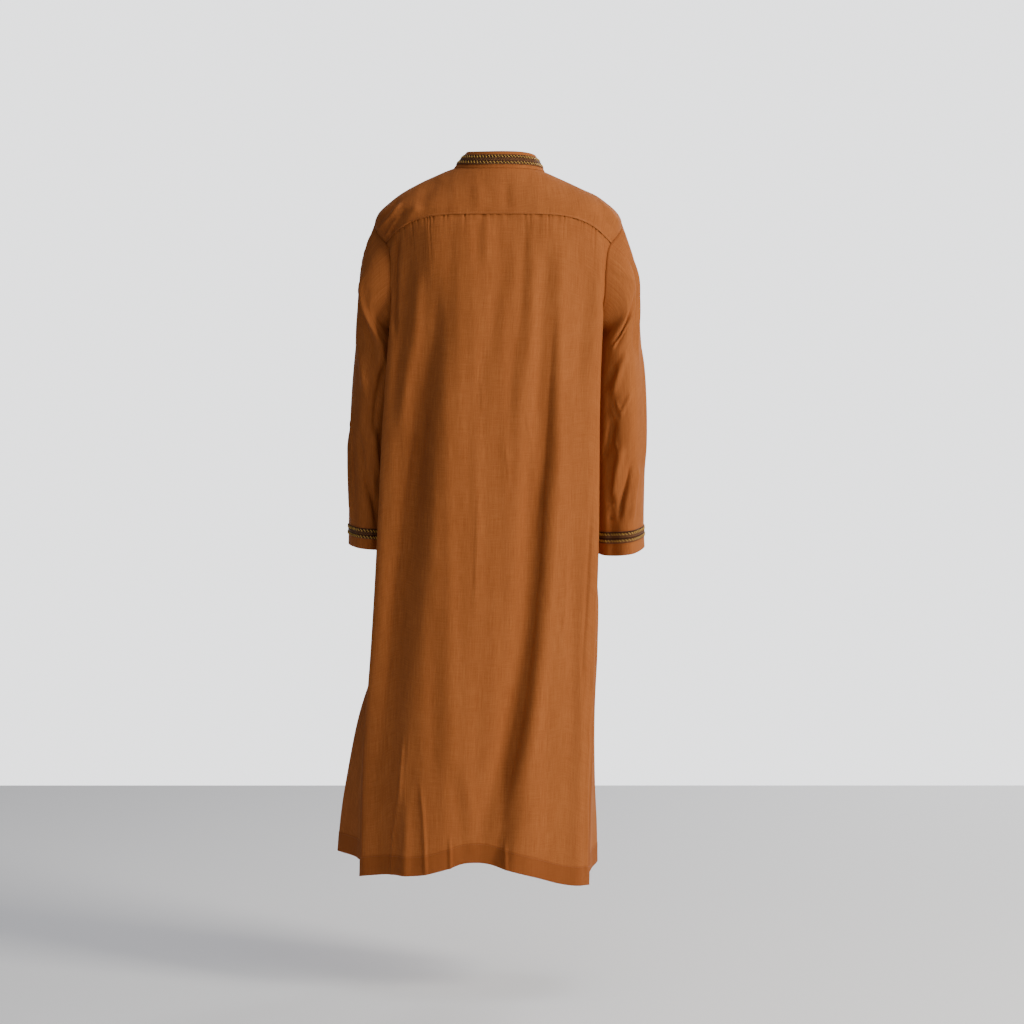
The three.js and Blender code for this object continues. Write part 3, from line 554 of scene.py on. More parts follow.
FRONT_CREASES = creases(
    (14, -4.0, (150, -90), (158, -200), (165, -330)),
    (16, 3.2, (112, -80), (100, -240), (96, -420)),
    (14, -4.0, (62, -140), (58, -400), (70, -640)),
    (13, 3.5, (84, -150), (84, -420), (98, -660)),
    (18, 3.8, (120, -380), (136, -640), (140, -900)),
    (14, -3.4, (150, -420), (164, -680), (172, -940)),
    (16, 4.2, (86, -700), (82, -1000), (92, -1350)),
    (14, -3.6, (112, -720), (110, -1020), (122, -1350)),
    (16, -4.4, (170, -820), (190, -1050), (210, -1330)),
    (11, 4.0, (150, -900), (166, -1100), (182, -1340)),
    (12, 4.0, (200, -900), (226, -1080), (250, -1340)),
    (3.0, 2.2, (60, -760), (56, -900), (60, -1050)),
)
YOKE_CREASES = creases(
    (3.6, 2.6, (185, -56), (206, -82), (236, -112)),
    (4.0, -2.2, (190, -50), (214, -76), (238, -100)),
    (3.2, 2.2, (189, -82), (204, -100), (222, -128)),
    (5.0, -2.4, (178, -70), (196, -92), (214, -122)),
    (8, 1.8, (150, -60), (170, -84), (190, -120)),
    (8, -1.6, (-176, -62), (-200, -84), (-220, -116)),
    (4, 1.4, (-186, -50), (-212, -76), (-232, -100)),
    (14, -1.6, (110, -10), (140, -40), (160, -80)),
    (10, -1.2, (-10, -20), (-14, -78)),
    (12, 1.2, (40, -24), (36, -78)),
    (14, -1.2, (-90, -12), (-130, -40), (-160, -66)),
)
LEFT_SLEEVE_CREASES = creases(
    (3.0, 2.0, (22, -112), (14, -150), (6, -190)),
    (3.0, 1.6, (34, -112), (26, -155), (18, -205)),
    (14, -4.5, (40, -190), (52, -260), (72, -330), (92, -390)),
    (11, 5.0, (58, -180), (74, -250), (92, -320), (112, -380)),
    (10, 4.0, (26, -270), (40, -330), (56, -380), (78, -440)),
    (12, -4.5, (112, -360), (96, -430), (90, -520)),
    (2.6, 3.4, (22, -440), (30, -520), (44, -640)),
    (12, -5.0, (52, -490), (70, -570), (100, -640), (112, -690)),
    (11, 3.4, (84, -470), (98, -540), (116, -600)),
    (9, 2.6, (130, -320), (116, -400), (104, -460)),
    (13, 3.6, (10, -480), (20, -580), (40, -690)),
    (9, -3.0, (200, -320), (225, -370), (250, -410)),
    (10, 3.2, (215, -380), (250, -430), (290, -480)),
    (10, -3.4, (240, -470), (280, -530), (320, -580)),
    (12, 3.2, (300, -240), (318, -330), (330, -430)),
    (12, -3.0, (330, -420), (315, -520), (300, -620)),
)
RIGHT_SLEEVE_CREASES = creases(
    (3.0, 2.6, (40, -155), (38, -215), (36, -280), (34, -370)),
    (9, -2.6, (56, -150), (54, -215), (52, -280), (50, -360)),
    (3.0, 2.2, (100, -160), (84, -185), (70, -215)),
    (11, -4.0, (62, -220), (84, -290), (108, -345)),
    (3.4, 3.4, (66, -262), (92, -315), (114, -345)),
    (9, -3.4, (96, -370), (118, -400), (136, -420)),
    (9, 3.2, (70, -340), (92, -380), (112, -440)),
    (2.6, 1.8, (104, -437), (86, -469)),
    (2.6, -1.6, (110, -440), (92, -476)),
    (2.6, 1.6, (118, -446), (100, -482)),
    (3.4, 2.2, (66, -421), (92, -470)),
    (10, -4.2, (102, -465), (120, -520), (134, -560)),
    (2.8, 2.2, (106, -512), (90, -552)),
    (9, -6.0, (62, -545), (76, -595), (88, -630), (98, -680)),
    (10, 5.0, (84, -520), (98, -580), (108, -640)),
    (8, 4.0, (44, -560), (58, -610), (66, -680)),
    (3.4, 1.8, (104, -640), (124, -646)),
    (3.4, -1.8, (104, -664), (124, -668)),
    (9, -3.0, (200, -320), (225, -370), (250, -410)),
    (10, 3.2, (230, -380), (260, -440), (290, -490)),
    (10, -3.4, (255, -480), (290, -540), (320, -590)),
    (12, 3.2, (310, -250), (322, -340), (334, -430)),
    (12, 2.6, (6, -300), (12, -420), (20, -600)),
)


def crease_height(lines, across, z, scale=1.0):
    """The creases' height at places across, z. scale is the millimetres in one unit across."""
    total = np.zeros_like(z)
    place = stack(across * scale, z)
    for width, height, points in lines:
        points = points * np.array([scale, 1])
        lengths = np.linalg.norm(np.diff(points, axis=0), axis=1)
        run = np.concatenate([[0], np.cumsum(lengths)])
        nearest = np.full(z.shape, np.inf)
        along = np.zeros_like(z)
        for i, length in enumerate(lengths):
            way = (points[i + 1] - points[i]) / length
            t = np.clip((place - points[i]) @ way, 0, length)
            distance = np.linalg.norm(place - points[i] - t[..., None] * way, axis=-1)
            closer = distance < nearest
            nearest = np.where(closer, distance, nearest)
            along = np.where(closer, (run[i] + t) / run[-1], along)
        fade = ease(CREASE_FADE * along) * ease(CREASE_FADE * (1 - along))
        total = total + height * fade * np.exp(-((nearest / width) ** 2))
    return total


# Slow waves that run down hanging cloth. lean: how much a wave drifts across with z.
HANGING_WAVES = rows_of("width lean height phase", [
    (118, 0.05, 1.5, 0.4),
    (71, -0.04, 0.9, 2.1),
    (43, 0.03, 0.5, 4.0),
    (27, -0.02, 0.25, 1.3),
])
WAVE_SWELL = 0.4  # share of its height by which a wave grows and shrinks on its way down
WAVE_SWELL_PACE = 210  # millimetres down the cloth for each radian of that
WAVE_SWELL_SHIFT = 3  # how far it differs between waves, in times their phase


def wave_height(across, z, strength=1.0):
    total = np.zeros_like(z)
    for wave in HANGING_WAVES:
        swell = np.sin(z / WAVE_SWELL_PACE + wave["phase"] * WAVE_SWELL_SHIFT)
        swell = 1 - WAVE_SWELL + WAVE_SWELL * swell
        cycle = 2 * math.pi * (across + wave["lean"] * z) / wave["width"] + wave["phase"]
        total = total + wave["height"] * swell * np.sin(cycle)
    return strength * total


# ---- Meshes ----
def surface_normals(points, closed=False):
    """Normals of a grid of points whose columns run to the left as seen from outside."""
    if closed:
        around = np.roll(points, -1, axis=1) - np.roll(points, 1, axis=1)
    else:
        around = np.gradient(points, axis=1)
    down = np.gradient(points, axis=0)
    return normalized(np.cross(around, down))


def raised(points, heights, closed=False):
    """A grid of points moved out along the cloth's own normals."""
    return points + surface_normals(points, closed) * heights[..., None]


def outside_of(points):
    """The outer face of a grid of cloth."""
    return points + surface_normals(points) * (CLOTH_THICKNESS / 2)


def cloth_lengths(points):
    """Distances along the cloth in metres: across each row from its middle, and down each column."""
    across = np.linalg.norm(np.diff(points, axis=1), axis=-1)
    across = np.concatenate([np.zeros((len(points), 1)), np.cumsum(across, axis=1)], axis=1)
    across -= across[:, -1:] / 2
    down = np.linalg.norm(np.diff(points, axis=0), axis=-1)
    down = np.concatenate([np.zeros((1, points.shape[1])), np.cumsum(down, axis=0)], axis=0)
    return stack(across, down) * MM


def grid_faces(rows, columns, closed):
    index = np.arange(rows * columns).reshape(rows, columns)
    if closed:
        index = np.concatenate([index, index[:, :1]], axis=1)
    a = index[:-1, :-1]
    b = index[:-1, 1:]
    c = index[1:, 1:]
    d = index[1:, :-1]
    return stack(a, b, c, d).reshape(-1, 4)


def add_piece(name, data, cloth):
    """Puts a mesh or a curve into the scene. cloth: its material, and the part's slot for it, which is
    not used.
    """
    material, slot = cloth
    data.materials.append(material)
    piece = bpy.data.objects.new(name, data)
    bpy.context.scene.collection.objects.link(piece)
    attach(piece, "root")
    return piece


def make_piece(name, points, lengths, thickness, cloth, replaces, closed=False):
    """A shell of cloth from a grid of points in millimetres, in place of a node of the part."""
    rows, columns = points.shape[:2]
    faces = grid_faces(rows, columns, closed)
    mesh = bpy.data.meshes.new(name)
    mesh.vertices.add(rows * columns)
    mesh.vertices.foreach_set("co", (points.reshape(-1, 3) * MM).ravel())
    mesh.loops.add(faces.size)
    mesh.loops.foreach_set("vertex_index", faces.ravel())
    mesh.polygons.add(len(faces))
    mesh.polygons.foreach_set("loop_start", np.arange(0, faces.size, 4))
    mesh.update(calc_edges=True)
    mesh.shade_smooth()
    corner = lengths.reshape(-1, 2)[faces.ravel()].reshape(-1, 4, 2)
    if closed:  # the cells that close a tube end at the whole way round it, and not at its start
        width = lengths[:, -1, 0] + np.linalg.norm(points[:, 0] - points[:, -1], axis=-1) * MM
        last = faces.reshape(-1, 4)[:, 0] % columns == columns - 1
        row = faces[:, 0] // columns
        corner[last, 1, 0] = width[row[last]]
        corner[last, 2, 0] = width[np.minimum(row[last] + 1, rows - 1)]
    layer = mesh.uv_layers.new(name="UVMap")
    layer.data.foreach_set("uv", corner.reshape(-1))
    piece = add_piece(name, mesh, cloth)
    solidify = piece.modifiers.new("thickness", "SOLIDIFY")
    solidify.thickness = thickness * MM
    solidify.offset = 0
    solidify.use_even_offset = False
    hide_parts(replaces)
    return piece


# ---- Materials ----
def new_material(name):
    material = bpy.data.materials.new(name)
    material.use_nodes = True
    nodes = material.node_tree.nodes
    nodes.clear()
    output = nodes.new("ShaderNodeOutputMaterial")
    shader = nodes.new("ShaderNodeBsdfPrincipled")
    material.node_tree.links.new(shader.outputs["BSDF"], output.inputs["Surface"])
    return material, shader


def math_node(material, operation, a, b=None):
    node = material.node_tree.nodes.new("ShaderNodeMath")
    node.operation = operation
    for socket, value in zip(node.inputs, (a, b)):
        if value is None:
            continue
        if isinstance(value, (int, float)):
            socket.default_value = value
        else:
            material.node_tree.links.new(value, socket)
    return node.outputs[0]


def weighted_sum(material, *parts):
    """The sum of sockets, each times its own weight."""
    total = None
    for socket, weight in parts:
        term = math_node(material, "MULTIPLY", socket, weight)
        total = math_node(material, "ADD", total, term) if total else term
    return total


def ribs(material, along, pitch):
    """Ribs of a weave, as a sine along a distance in metres."""
    return math_node(material, "SINE", math_node(material, "MULTIPLY", along, 2 * math.pi / pitch))


def uv_axes(material):
    nodes = material.node_tree.nodes
    uv = nodes.new("ShaderNodeUVMap")
    uv.uv_map = "UVMap"
    split = nodes.new("ShaderNodeSeparateXYZ")
    material.node_tree.links.new(uv.outputs["UV"], split.inputs["Vector"])
    return uv.outputs["UV"], split.outputs["X"], split.outputs["Y"]


def noise(material, vector, scale, stretch=(1, 1, 1), detail=3.0, roughness=0.55):
    nodes = material.node_tree.nodes
    links = material.node_tree.links
    mapping = nodes.new("ShaderNodeMapping")
    mapping.inputs["Scale"].default_value = stretch
    texture = nodes.new("ShaderNodeTexNoise")
    texture.inputs["Scale"].default_value = scale
    texture.inputs["Detail"].default_value = detail
    texture.inputs["Roughness"].default_value = roughness
    links.new(vector, mapping.inputs["Vector"])
    links.new(mapping.outputs["Vector"], texture.inputs["Vector"])
    return texture.outputs["Fac"]


def ramp(material, factor, stops):
    node = material.node_tree.nodes.new("ShaderNodeValToRGB")
    elements = node.color_ramp.elements
    while len(elements) < len(stops):
        elements.new(0.5)
    for element, (position, color) in zip(elements, stops):
        element.position = position
        element.color = (*color, 1)
    material.node_tree.links.new(factor, node.inputs["Fac"])
    return node.outputs["Color"]


def paint(material, shader, factor, stops):
    """Colours a surface by a factor that runs through the stops."""
    color = ramp(material, factor, stops)
    material.node_tree.links.new(color, shader.inputs["Base Color"])


def set_finish(shader, finish):
    for socket, value in finish.items():
        shader.inputs[socket].default_value = value


def bump(material, shader, heights):
    """Chains bump nodes: heights is a list of (height socket, distance in metres)."""
    normal = None
    for height, distance in heights:
        node = material.node_tree.nodes.new("ShaderNodeBump")
        node.inputs["Distance"].default_value = distance
        node.inputs["Strength"].default_value = 1.0
        material.node_tree.links.new(height, node.inputs["Height"])
        if normal is not None:
            material.node_tree.links.new(normal, node.inputs["Normal"])
        normal = node.outputs["Normal"]
    material.node_tree.links.new(normal, shader.inputs["Normal"])


# The first stop is painted shade: the colour of double cloth, darker for the light that shines through
# single cloth and not through double.
ROBE_DOUBLE_PAINTED_SHADE = (0.243, 0.068, 0.018)
ROBE_DARK = (0.273, 0.081, 0.022)
ROBE_MID = (0.326, 0.101, 0.028)
ROBE_LIGHT = (0.383, 0.125, 0.035)
ROBE_STOPS = [(0.2, ROBE_DOUBLE_PAINTED_SHADE), (0.4, ROBE_DARK), (0.5, ROBE_MID), (0.6, ROBE_LIGHT)]
ROBE_FINISH = {
    "Roughness": 0.75,
    "Sheen Weight": 0.06,
    "Sheen Roughness": 0.5,
    "Sheen Tint": (1.0, 0.55, 0.25, 1),
    "Specular IOR Level": 0.03,
}
TURNED_LAYER = "turned"  # the attribute that is 1 where the cloth lies double
DOUBLE_CLOTH_PAINTED_SHADE = 0.16  # painted shade on double cloth, for the light that shines through single cloth and not through double: how much darker it is, on the scale of the stops
TWILL_PITCH = 0.0011
TWILL_SLOPE = 0.7
TWILL_DEPTH = 0.00003
SLUB_DEPTH = 0.00008
CLOUD_DEPTH = 0.0005


def robe_material():
    """A light, soft twill: fine diagonal ribs, slubs that run down the cloth, a silky sheen."""
    material, shader = new_material("robe_cloth")
    vector, across, down = uv_axes(material)
    slubs = noise(material, vector, scale=700, stretch=(1, 0.03, 1), detail=3)
    picks = noise(material, vector, scale=600, stretch=(0.05, 1, 1), detail=2)
    clouds = noise(material, vector, scale=9, stretch=(1, 0.35, 1), detail=4)
    grain = noise(material, vector, scale=420, detail=2)
    turned = material.node_tree.nodes.new("ShaderNodeAttribute")
    turned.attribute_name = TURNED_LAYER
    # painted shade: double cloth is darkened for the light that shines through single cloth and not
    # through double
    shade = (turned.outputs["Fac"], -DOUBLE_CLOTH_PAINTED_SHADE)
    shares = [(slubs, 0.38), (picks, 0.22), (clouds, 0.22), (grain, 0.18), shade]
    paint(material, shader, weighted_sum(material, *shares), ROBE_STOPS)
    diagonal = math_node(material, "ADD", across, math_node(material, "MULTIPLY", down, TWILL_SLOPE))
    twill = ribs(material, diagonal, TWILL_PITCH)
    bump(material, shader, [(twill, TWILL_DEPTH), (slubs, SLUB_DEPTH), (clouds, CLOUD_DEPTH)])
    set_finish(shader, ROBE_FINISH)
    return material


TAPE_DARK = (0.024, 0.008, 0.004)
TAPE_BROWN = (0.105, 0.040, 0.019)
TAPE_TAN = (0.280, 0.130, 0.055)
TAPE_STOPS = [(0.1, TAPE_DARK), (0.4, TAPE_BROWN), (0.85, TAPE_TAN)]
TAPE_FINISH = {"Roughness": 0.7, "Specular IOR Level": 0.1}
# In metres: two lozenges of the chain, the half height of a lozenge and of its dark core, the
# distance from the middle where the paler edges start, the weave's pitch, and its relief.
TAPE_REPEAT = 0.0066
TAPE_LOZENGE = 0.0030
TAPE_CORE = 0.0014
TAPE_EDGE = 0.0088
TAPE_PITCH = 0.0009
TAPE_RIB_DEPTH = 0.0001
TAPE_PATTERN_DEPTH = 0.0003


def tape_material():
    """Woven tape: dark brown with a small chained lozenge down its middle and paler edges."""
    material, shader = new_material("woven_tape")
    vector, across, down = uv_axes(material)
    zigzag = math_node(material, "ABSOLUTE", ribs(material, across, TAPE_REPEAT))
    middle = math_node(material, "SUBTRACT", down, 0.5 * TAPE_WIDTH * MM)
    from_middle = math_node(material, "ABSOLUTE", middle)
    lozenge = math_node(material, "MULTIPLY", zigzag, TAPE_LOZENGE)
    lozenge = math_node(material, "SUBTRACT", lozenge, from_middle)
    inside = math_node(material, "GREATER_THAN", lozenge, 0.0)
    core = math_node(material, "GREATER_THAN", lozenge, TAPE_CORE)
    edge = math_node(material, "GREATER_THAN", from_middle, TAPE_EDGE)
    weave = noise(material, vector, scale=1400, stretch=(1, 0.6, 1), detail=2)
    outline = math_node(material, "SUBTRACT", inside, core)
    pattern = math_node(material, "ADD", outline, math_node(material, "MULTIPLY", edge, 0.6))
    tone = weighted_sum(material, (pattern, 0.55), (weave, 0.4))
    paint(material, shader, tone, TAPE_STOPS)
    picks = ribs(material, across, TAPE_PITCH)
    depths = [(picks, TAPE_RIB_DEPTH), (weave, TAPE_PATTERN_DEPTH), (pattern, TAPE_PATTERN_DEPTH)]
    bump(material, shader, depths)
    set_finish(shader, TAPE_FINISH)
    return material


GOLD_DARK = (0.400, 0.200, 0.030)
GOLD_LIGHT = (0.780, 0.460, 0.090)
GOLD_STOPS = [(0.35, GOLD_DARK), (0.62, GOLD_LIGHT)]
GOLD_FINISH = {"Roughness": 0.42}
GOLD_PLY_DEPTH = 0.0002


def gold_material():
    """Dull gold thread with a twisted ply."""
    material, shader = new_material("gold_thread")
    place = material.node_tree.nodes.new("ShaderNodeTexCoord").outputs["Object"]
    ply = noise(material, place, scale=1800, detail=2)
    paint(material, shader, ply, GOLD_STOPS)
    bump(material, shader, [(ply, GOLD_PLY_DEPTH)])
    set_finish(shader, GOLD_FINISH)
    return material


THREAD_FINISH = {"Base Color": (0.30, 0.085, 0.012, 1), "Roughness": 0.55}
THREAD_PLY_DEPTH = 0.0001


def thread_material():
    """Sewing thread in the cloth's own colour."""
    material, shader = new_material("sewing_thread")
    place = material.node_tree.nodes.new("ShaderNodeTexCoord").outputs["Object"]
    bump(material, shader, [(noise(material, place, scale=2500, detail=1), THREAD_PLY_DEPTH)])
    set_finish(shader, THREAD_FINISH)
    return material


ROBE = (robe_material(), "robe_cloth")
TAPE = (tape_material(), "woven_tape")
GOLD = (gold_material(), "woven_tape")
THREAD = (thread_material(), "robe_cloth")


# ---- Threads and stitches ----
def thread(name, lines, radius, cloth):
    """Round threads that follow lines of points in millimetres."""
    curve = bpy.data.curves.new(name, "CURVE")
    curve.dimensions = "3D"
    curve.bevel_depth = radius * MM
    curve.bevel_resolution = 1
    curve.use_fill_caps = True
    for line in lines:
        spline = curve.splines.new("POLY")
        spline.points.add(len(line) - 1)
        flat = np.concatenate([line * MM, np.ones((len(line), 1))], axis=1)
        spline.points.foreach_set("co", flat.ravel())
    return add_piece(name, curve, cloth)


def along_line(line, places, values=None):
    """Points at distances along a line, or what values its points have there."""
    steps = np.linalg.norm(np.diff(line, axis=0), axis=-1)
    run = np.concatenate([[0], np.cumsum(steps)])
    values = line if values is None else values
    return stack(*[np.interp(places, run, values[:, k]) for k in range(3)])


def line_length(line):
    return float(np.linalg.norm(np.diff(line, axis=0), axis=-1).sum())


def stitch_row(name, surface, distance, wanted):
    """Stitches on a grid of cloth, where a distance along its columns has the wanted value."""
    if distance[0, 0] < distance[-1, 0]:
        surface, distance = surface[::-1], distance[::-1]
    line = np.array([
        [np.interp(-wanted, -distance[:, i], surface[:, i, k]) for k in range(3)]
        for i in range(surface.shape[1])
    ])
    starts = np.arange(0, line_length(line) - STITCH_PITCH, STITCH_PITCH)
    lines = [along_line(line, start + np.array([0, STITCH_LENGTH])) for start in starts]
    return thread(name, lines, STITCH_RADIUS, THREAD)


def slit_stitches(name, points, distance, level):
    """Stitches up a slit, beside the edge that the distance is counted from."""
    rows = slit_share(level[:, 0]) > 0
    surface = outside_of(points)[rows].transpose(1, 0, 2)
    return stitch_row(name, surface, distance[rows].T, EDGE_TURN - STITCH_FROM_FOLD)


# ---- Borders, hems and layers of the panels ----
def turned_share(distance, width):
    """1 where a hem of a width is turned up, and 0 past it."""
    return ease((width - distance) / TURN_STEP + 0.5)


def hem_distance(lengths):
    """Millimetres down the cloth to its last row."""
    return (lengths[-1:, :, 1] - lengths[..., 1]) / MM


def edge_distance(lengths, last=False, both=False):
    """Millimetres across the cloth from its first column, its last one, or the nearer of both."""
    across = lengths[..., 0] / MM
    from_first = across - across[:, :1]
    from_last = across[:, -1:] - across
    if both:
        return np.minimum(from_first, from_last)
    return from_last if last else from_first


def set_layers(piece, turned):
    """Writes where the cloth lies double, which the cloth's material reads to paint shade there."""
    layer = piece.data.attributes.new(TURNED_LAYER, "FLOAT", "POINT")
    layer.data.foreach_set("value", turned.ravel())


def hold_borders(rows, columns, top=0, bottom=0, start=0, end=0):
    """1 inside a grid, and 0 on the borders that have a width, which is counted in cells."""
    hold = np.ones((rows, columns))
    above = np.arange(rows)[:, None]
    before = np.arange(columns)[None, :]
    below = rows - 1 - above
    after = columns - 1 - before
    for width, away in ((top, above), (bottom, below), (start, before), (end, after)):
        if width:
            hold = hold * ease(away / width)
    return hold


# ---- Back yoke ----
YOKE_ROWS = 70
YOKE_COLUMNS = 241
YOKE_ROW_POWER = 1.6  # the rows lie closer together towards the seam
YOKE_SHOULDER_SHARE = 0.2  # of the upper border's columns, for each shoulder seam
YOKE_LAP_FROM = 0.8  # share of the yoke's rows where its edge starts to hang over the back
YOKE_LAP_CORNER = 20  # power that squares the lap's two ends
YOKE_CREASE_DEPTH = 1.4  # times the heights in the list
YOKE_RIPPLE = 0.2  # height of its hanging waves, as a share of theirs on the back
YOKE_RIPPLE_PACE = 3.1  # how many times narrower they are than on the back


def shoulder_and_neck(u):
    """The yoke's upper border: right shoulder seam, neck and left shoulder seam."""
    share = YOKE_SHOULDER_SHARE
    right = np.clip(1 - u / share, 0, 1)
    left = np.clip((u - 1 + share) / share, 0, 1)
    neck = np.clip((u - share) / (1 - 2 * share), 0, 1)
    angle = mix(-SHOULDER_SEAM_ANGLE, SHOULDER_SEAM_ANGLE, neck)
    return stack(angle, SHOULDER_END_LEVEL * (right + left))


def make_yoke():
    edge = float(armhole_angle(YOKE_END))
    lap = YOKE_LAP / YOKE_TO_CHEST
    u = np.linspace(0, 1, YOKE_COLUMNS)
    v = 1 - (1 - np.linspace(0, 1, YOKE_ROWS)) ** YOKE_ROW_POWER
    seam = level_line(-edge, edge, YOKE_LEVEL)
    angle, level = back_patch(shoulder_and_neck, seam, SHOULDER_END, YOKE_END, u, v)
    lap = lap * ease((v[:, None] - YOKE_LAP_FROM) / (1 - YOKE_LAP_FROM))
    level = level + lap * (1 - np.abs(2 * u - 1) ** YOKE_LAP_CORNER)
    points = torso(angle, level)
    lengths = cloth_lengths(points)
    heights = YOKE_CREASE_DEPTH * crease_height(YOKE_CREASES, points[..., 0], points[..., 2])
    heights = heights + wave_height(points[..., 0] * YOKE_RIPPLE_PACE, points[..., 2], YOKE_RIPPLE)
    heights = heights * hold_borders(YOKE_ROWS, YOKE_COLUMNS, top=8, bottom=6, start=8, end=8)
    from_fold = hem_distance(lengths)
    heights = heights + SEAM_ROLL * ease((SEAM_ROLL_WIDTH - from_fold) / SEAM_ROLL_WIDTH + 0.5)
    points = raised(points, heights)
    stitch_row("yoke_seam_stitches", outside_of(points), from_fold, STITCH_FROM_FOLD)
    piece = make_piece("yoke_cloth", points, lengths, CLOTH_THICKNESS, ROBE, "back_yoke")


# ---- Back panel ----
BACK_COLUMNS = 281
BACK_UPPER_ROWS = 56
BACK_ROW_POWER = 1.35  # the rows lie closer together towards the yoke
BACK_SKIRT_ROWS = 88
HEM_ROWS = 20
HEM_ROWS_REACH = 1.6  # height that they cover, in widths of the hem
CREASE_RISE = 3  # a crease is whole once it is a third of a level below the yoke


def gather_height(angle, level, edge):
    """Narrow troughs between the back's gathers, each with its own depth and reach."""
    below = np.maximum((level - YOKE_LEVEL) * YOKE_TO_CHEST, 0)
    cycle = GATHERS * (angle + edge) / (2 * edge)
    fast, slow = GATHER_DRIFT_PACES
    cycle = cycle + GATHER_DRIFT * (np.sin(cycle * fast) + np.sin(cycle * slow + 1))
    number = np.clip(np.floor(cycle), 0, GATHERS - 1).astype(int)
    depth = np.array(GATHER_DEPTHS)[number % len(GATHER_DEPTHS)]
    reach = np.array(GATHER_REACH)[number % len(GATHER_REACH)]
    wave = (0.5 - 0.5 * np.cos(2 * math.pi * cycle)) ** GATHER_SHARPNESS
    fade = ease(below / GATHER_RISE) * np.exp(-below / (GATHER_FADE * reach))
    return -GATHER_DEPTH * depth * wave * fade


def skirt_levels(rows):
    """Levels of a skirt's rows, which lie close together over the turned-up hem."""
    turn = HEM_LEVEL - HEM_ROWS_REACH * HEM_TURN / (RINGS.values["zBack"][HEM_LEVEL - 1] - HEM_Z)
    upper = np.linspace(ARMPIT_LEVEL, turn, rows + 1)[1:]
    return np.concatenate([upper, np.linspace(turn, HEM_LEVEL, HEM_ROWS + 1)[1:]])


def back_grid():
    edge = float(armhole_angle(YOKE_END))
    u = np.linspace(0, 1, BACK_COLUMNS)
    v = np.linspace(0, 1, BACK_UPPER_ROWS) ** BACK_ROW_POWER
    seam = level_line(-edge, edge, YOKE_LEVEL)
    armpits = level_line(-SIDE_SEAM_ARMPIT, SIDE_SEAM_ARMPIT, ARMPIT_LEVEL)
    angle, level = back_patch(seam, armpits, YOKE_END, ARMPIT_TURN, u, v)
    skirt = skirt_levels(BACK_SKIRT_ROWS)
    side = side_seam_angle(skirt) - SLIT_OPEN / 2 * slit_share(skirt)
    return with_skirt(angle, level, skirt, -side, side, u)


def make_back():
    angle, level = back_grid()
    rows, columns = angle.shape
    points = torso(angle, level)
    lengths = cloth_lengths(points)
    x = points[..., 0]
    z = points[..., 2]
    fine = crease_height(BACK_CREASES, x, z) + wave_height(x, z)
    fine = fine * ease((level - YOKE_LEVEL) * CREASE_RISE)
    fine = fine * hold_borders(rows, columns, top=10, start=4, end=4)
    gathers = gather_height(angle, level, float(armhole_angle(YOKE_END)))
    gathers = gathers * hold_borders(rows, columns, start=6, end=6)
    tuck = -SEAM_TUCK * (1 - ease((level - YOKE_LEVEL) / SEAM_TUCK_REACH))
    from_hem = hem_distance(lengths)
    from_slit = edge_distance(lengths, both=True)
    in_slit = slit_share(level) > 0
    turned = in_slit * turned_share(from_slit, EDGE_TURN)
    turned = np.maximum(turned, turned_share(from_hem, HEM_TURN))
    points = raised(points, fine + gathers + tuck + TURN_RISE * turned)
    piece = make_piece("back_cloth", points, lengths, CLOTH_THICKNESS, ROBE, "back_panel")
    set_layers(piece, turned)
    stitch_row("back_hem_stitches", outside_of(points), from_hem, HEM_TURN - STITCH_FROM_FOLD)
    for word, last in (("right", False), ("left", True)):
        distance = edge_distance(lengths, last=last)
        slit_stitches(f"back_{word}_slit_stitches", points, distance, level)


# ---- Fronts ----
FRONT_COLUMNS = 120
FRONT_UPPER_ROWS = 80
FRONT_SKIRT_ROWS = 100
FRONT_SHOULDER_SHARE = 0.46  # of the upper border's columns, for the shoulder seam
FRONT_HOLD_TOP = 12  # cells beside the shoulder and the side seam where the creases fade out
FRONT_HOLD_SIDE = 10
FRONT_WAVE_SHIFT = 37  # sets the two fronts' hanging waves apart


def front_grid(side):
    u = np.linspace(0, 1, FRONT_COLUMNS)
    v = np.linspace(0, 1, FRONT_UPPER_ROWS)
    neck_end = float(front_edge_angle(side, 0.0))
    armpit_end = float(front_edge_angle(side, float(ARMPIT_LEVEL)))

    def top(u):
        shoulder = np.clip(1 - u / FRONT_SHOULDER_SHARE, 0, 1)
        neck = np.clip((u - FRONT_SHOULDER_SHARE) / (1 - FRONT_SHOULDER_SHARE), 0, 1)
        return stack(mix(SHOULDER_SEAM_ANGLE, neck_end, neck), SHOULDER_END_LEVEL * shoulder)

    def end(v):
        level = ARMPIT_LEVEL * v
        return stack(front_edge_angle(side, level), level)

    def start(v):
        return armhole_spot(mix(SHOULDER_END + 360, ARMPIT_TURN, v))

    bottom = level_line(SIDE_SEAM_ARMPIT, armpit_end, ARMPIT_LEVEL)
    angle, level = patch(top, bottom, start, end, u, v)
    skirt = skirt_levels(FRONT_SKIRT_ROWS)
    seam = side_seam_angle(skirt) + SLIT_OPEN / 2 * slit_share(skirt)
    return with_skirt(angle, level, skirt, seam, front_edge_angle(side, skirt), u)


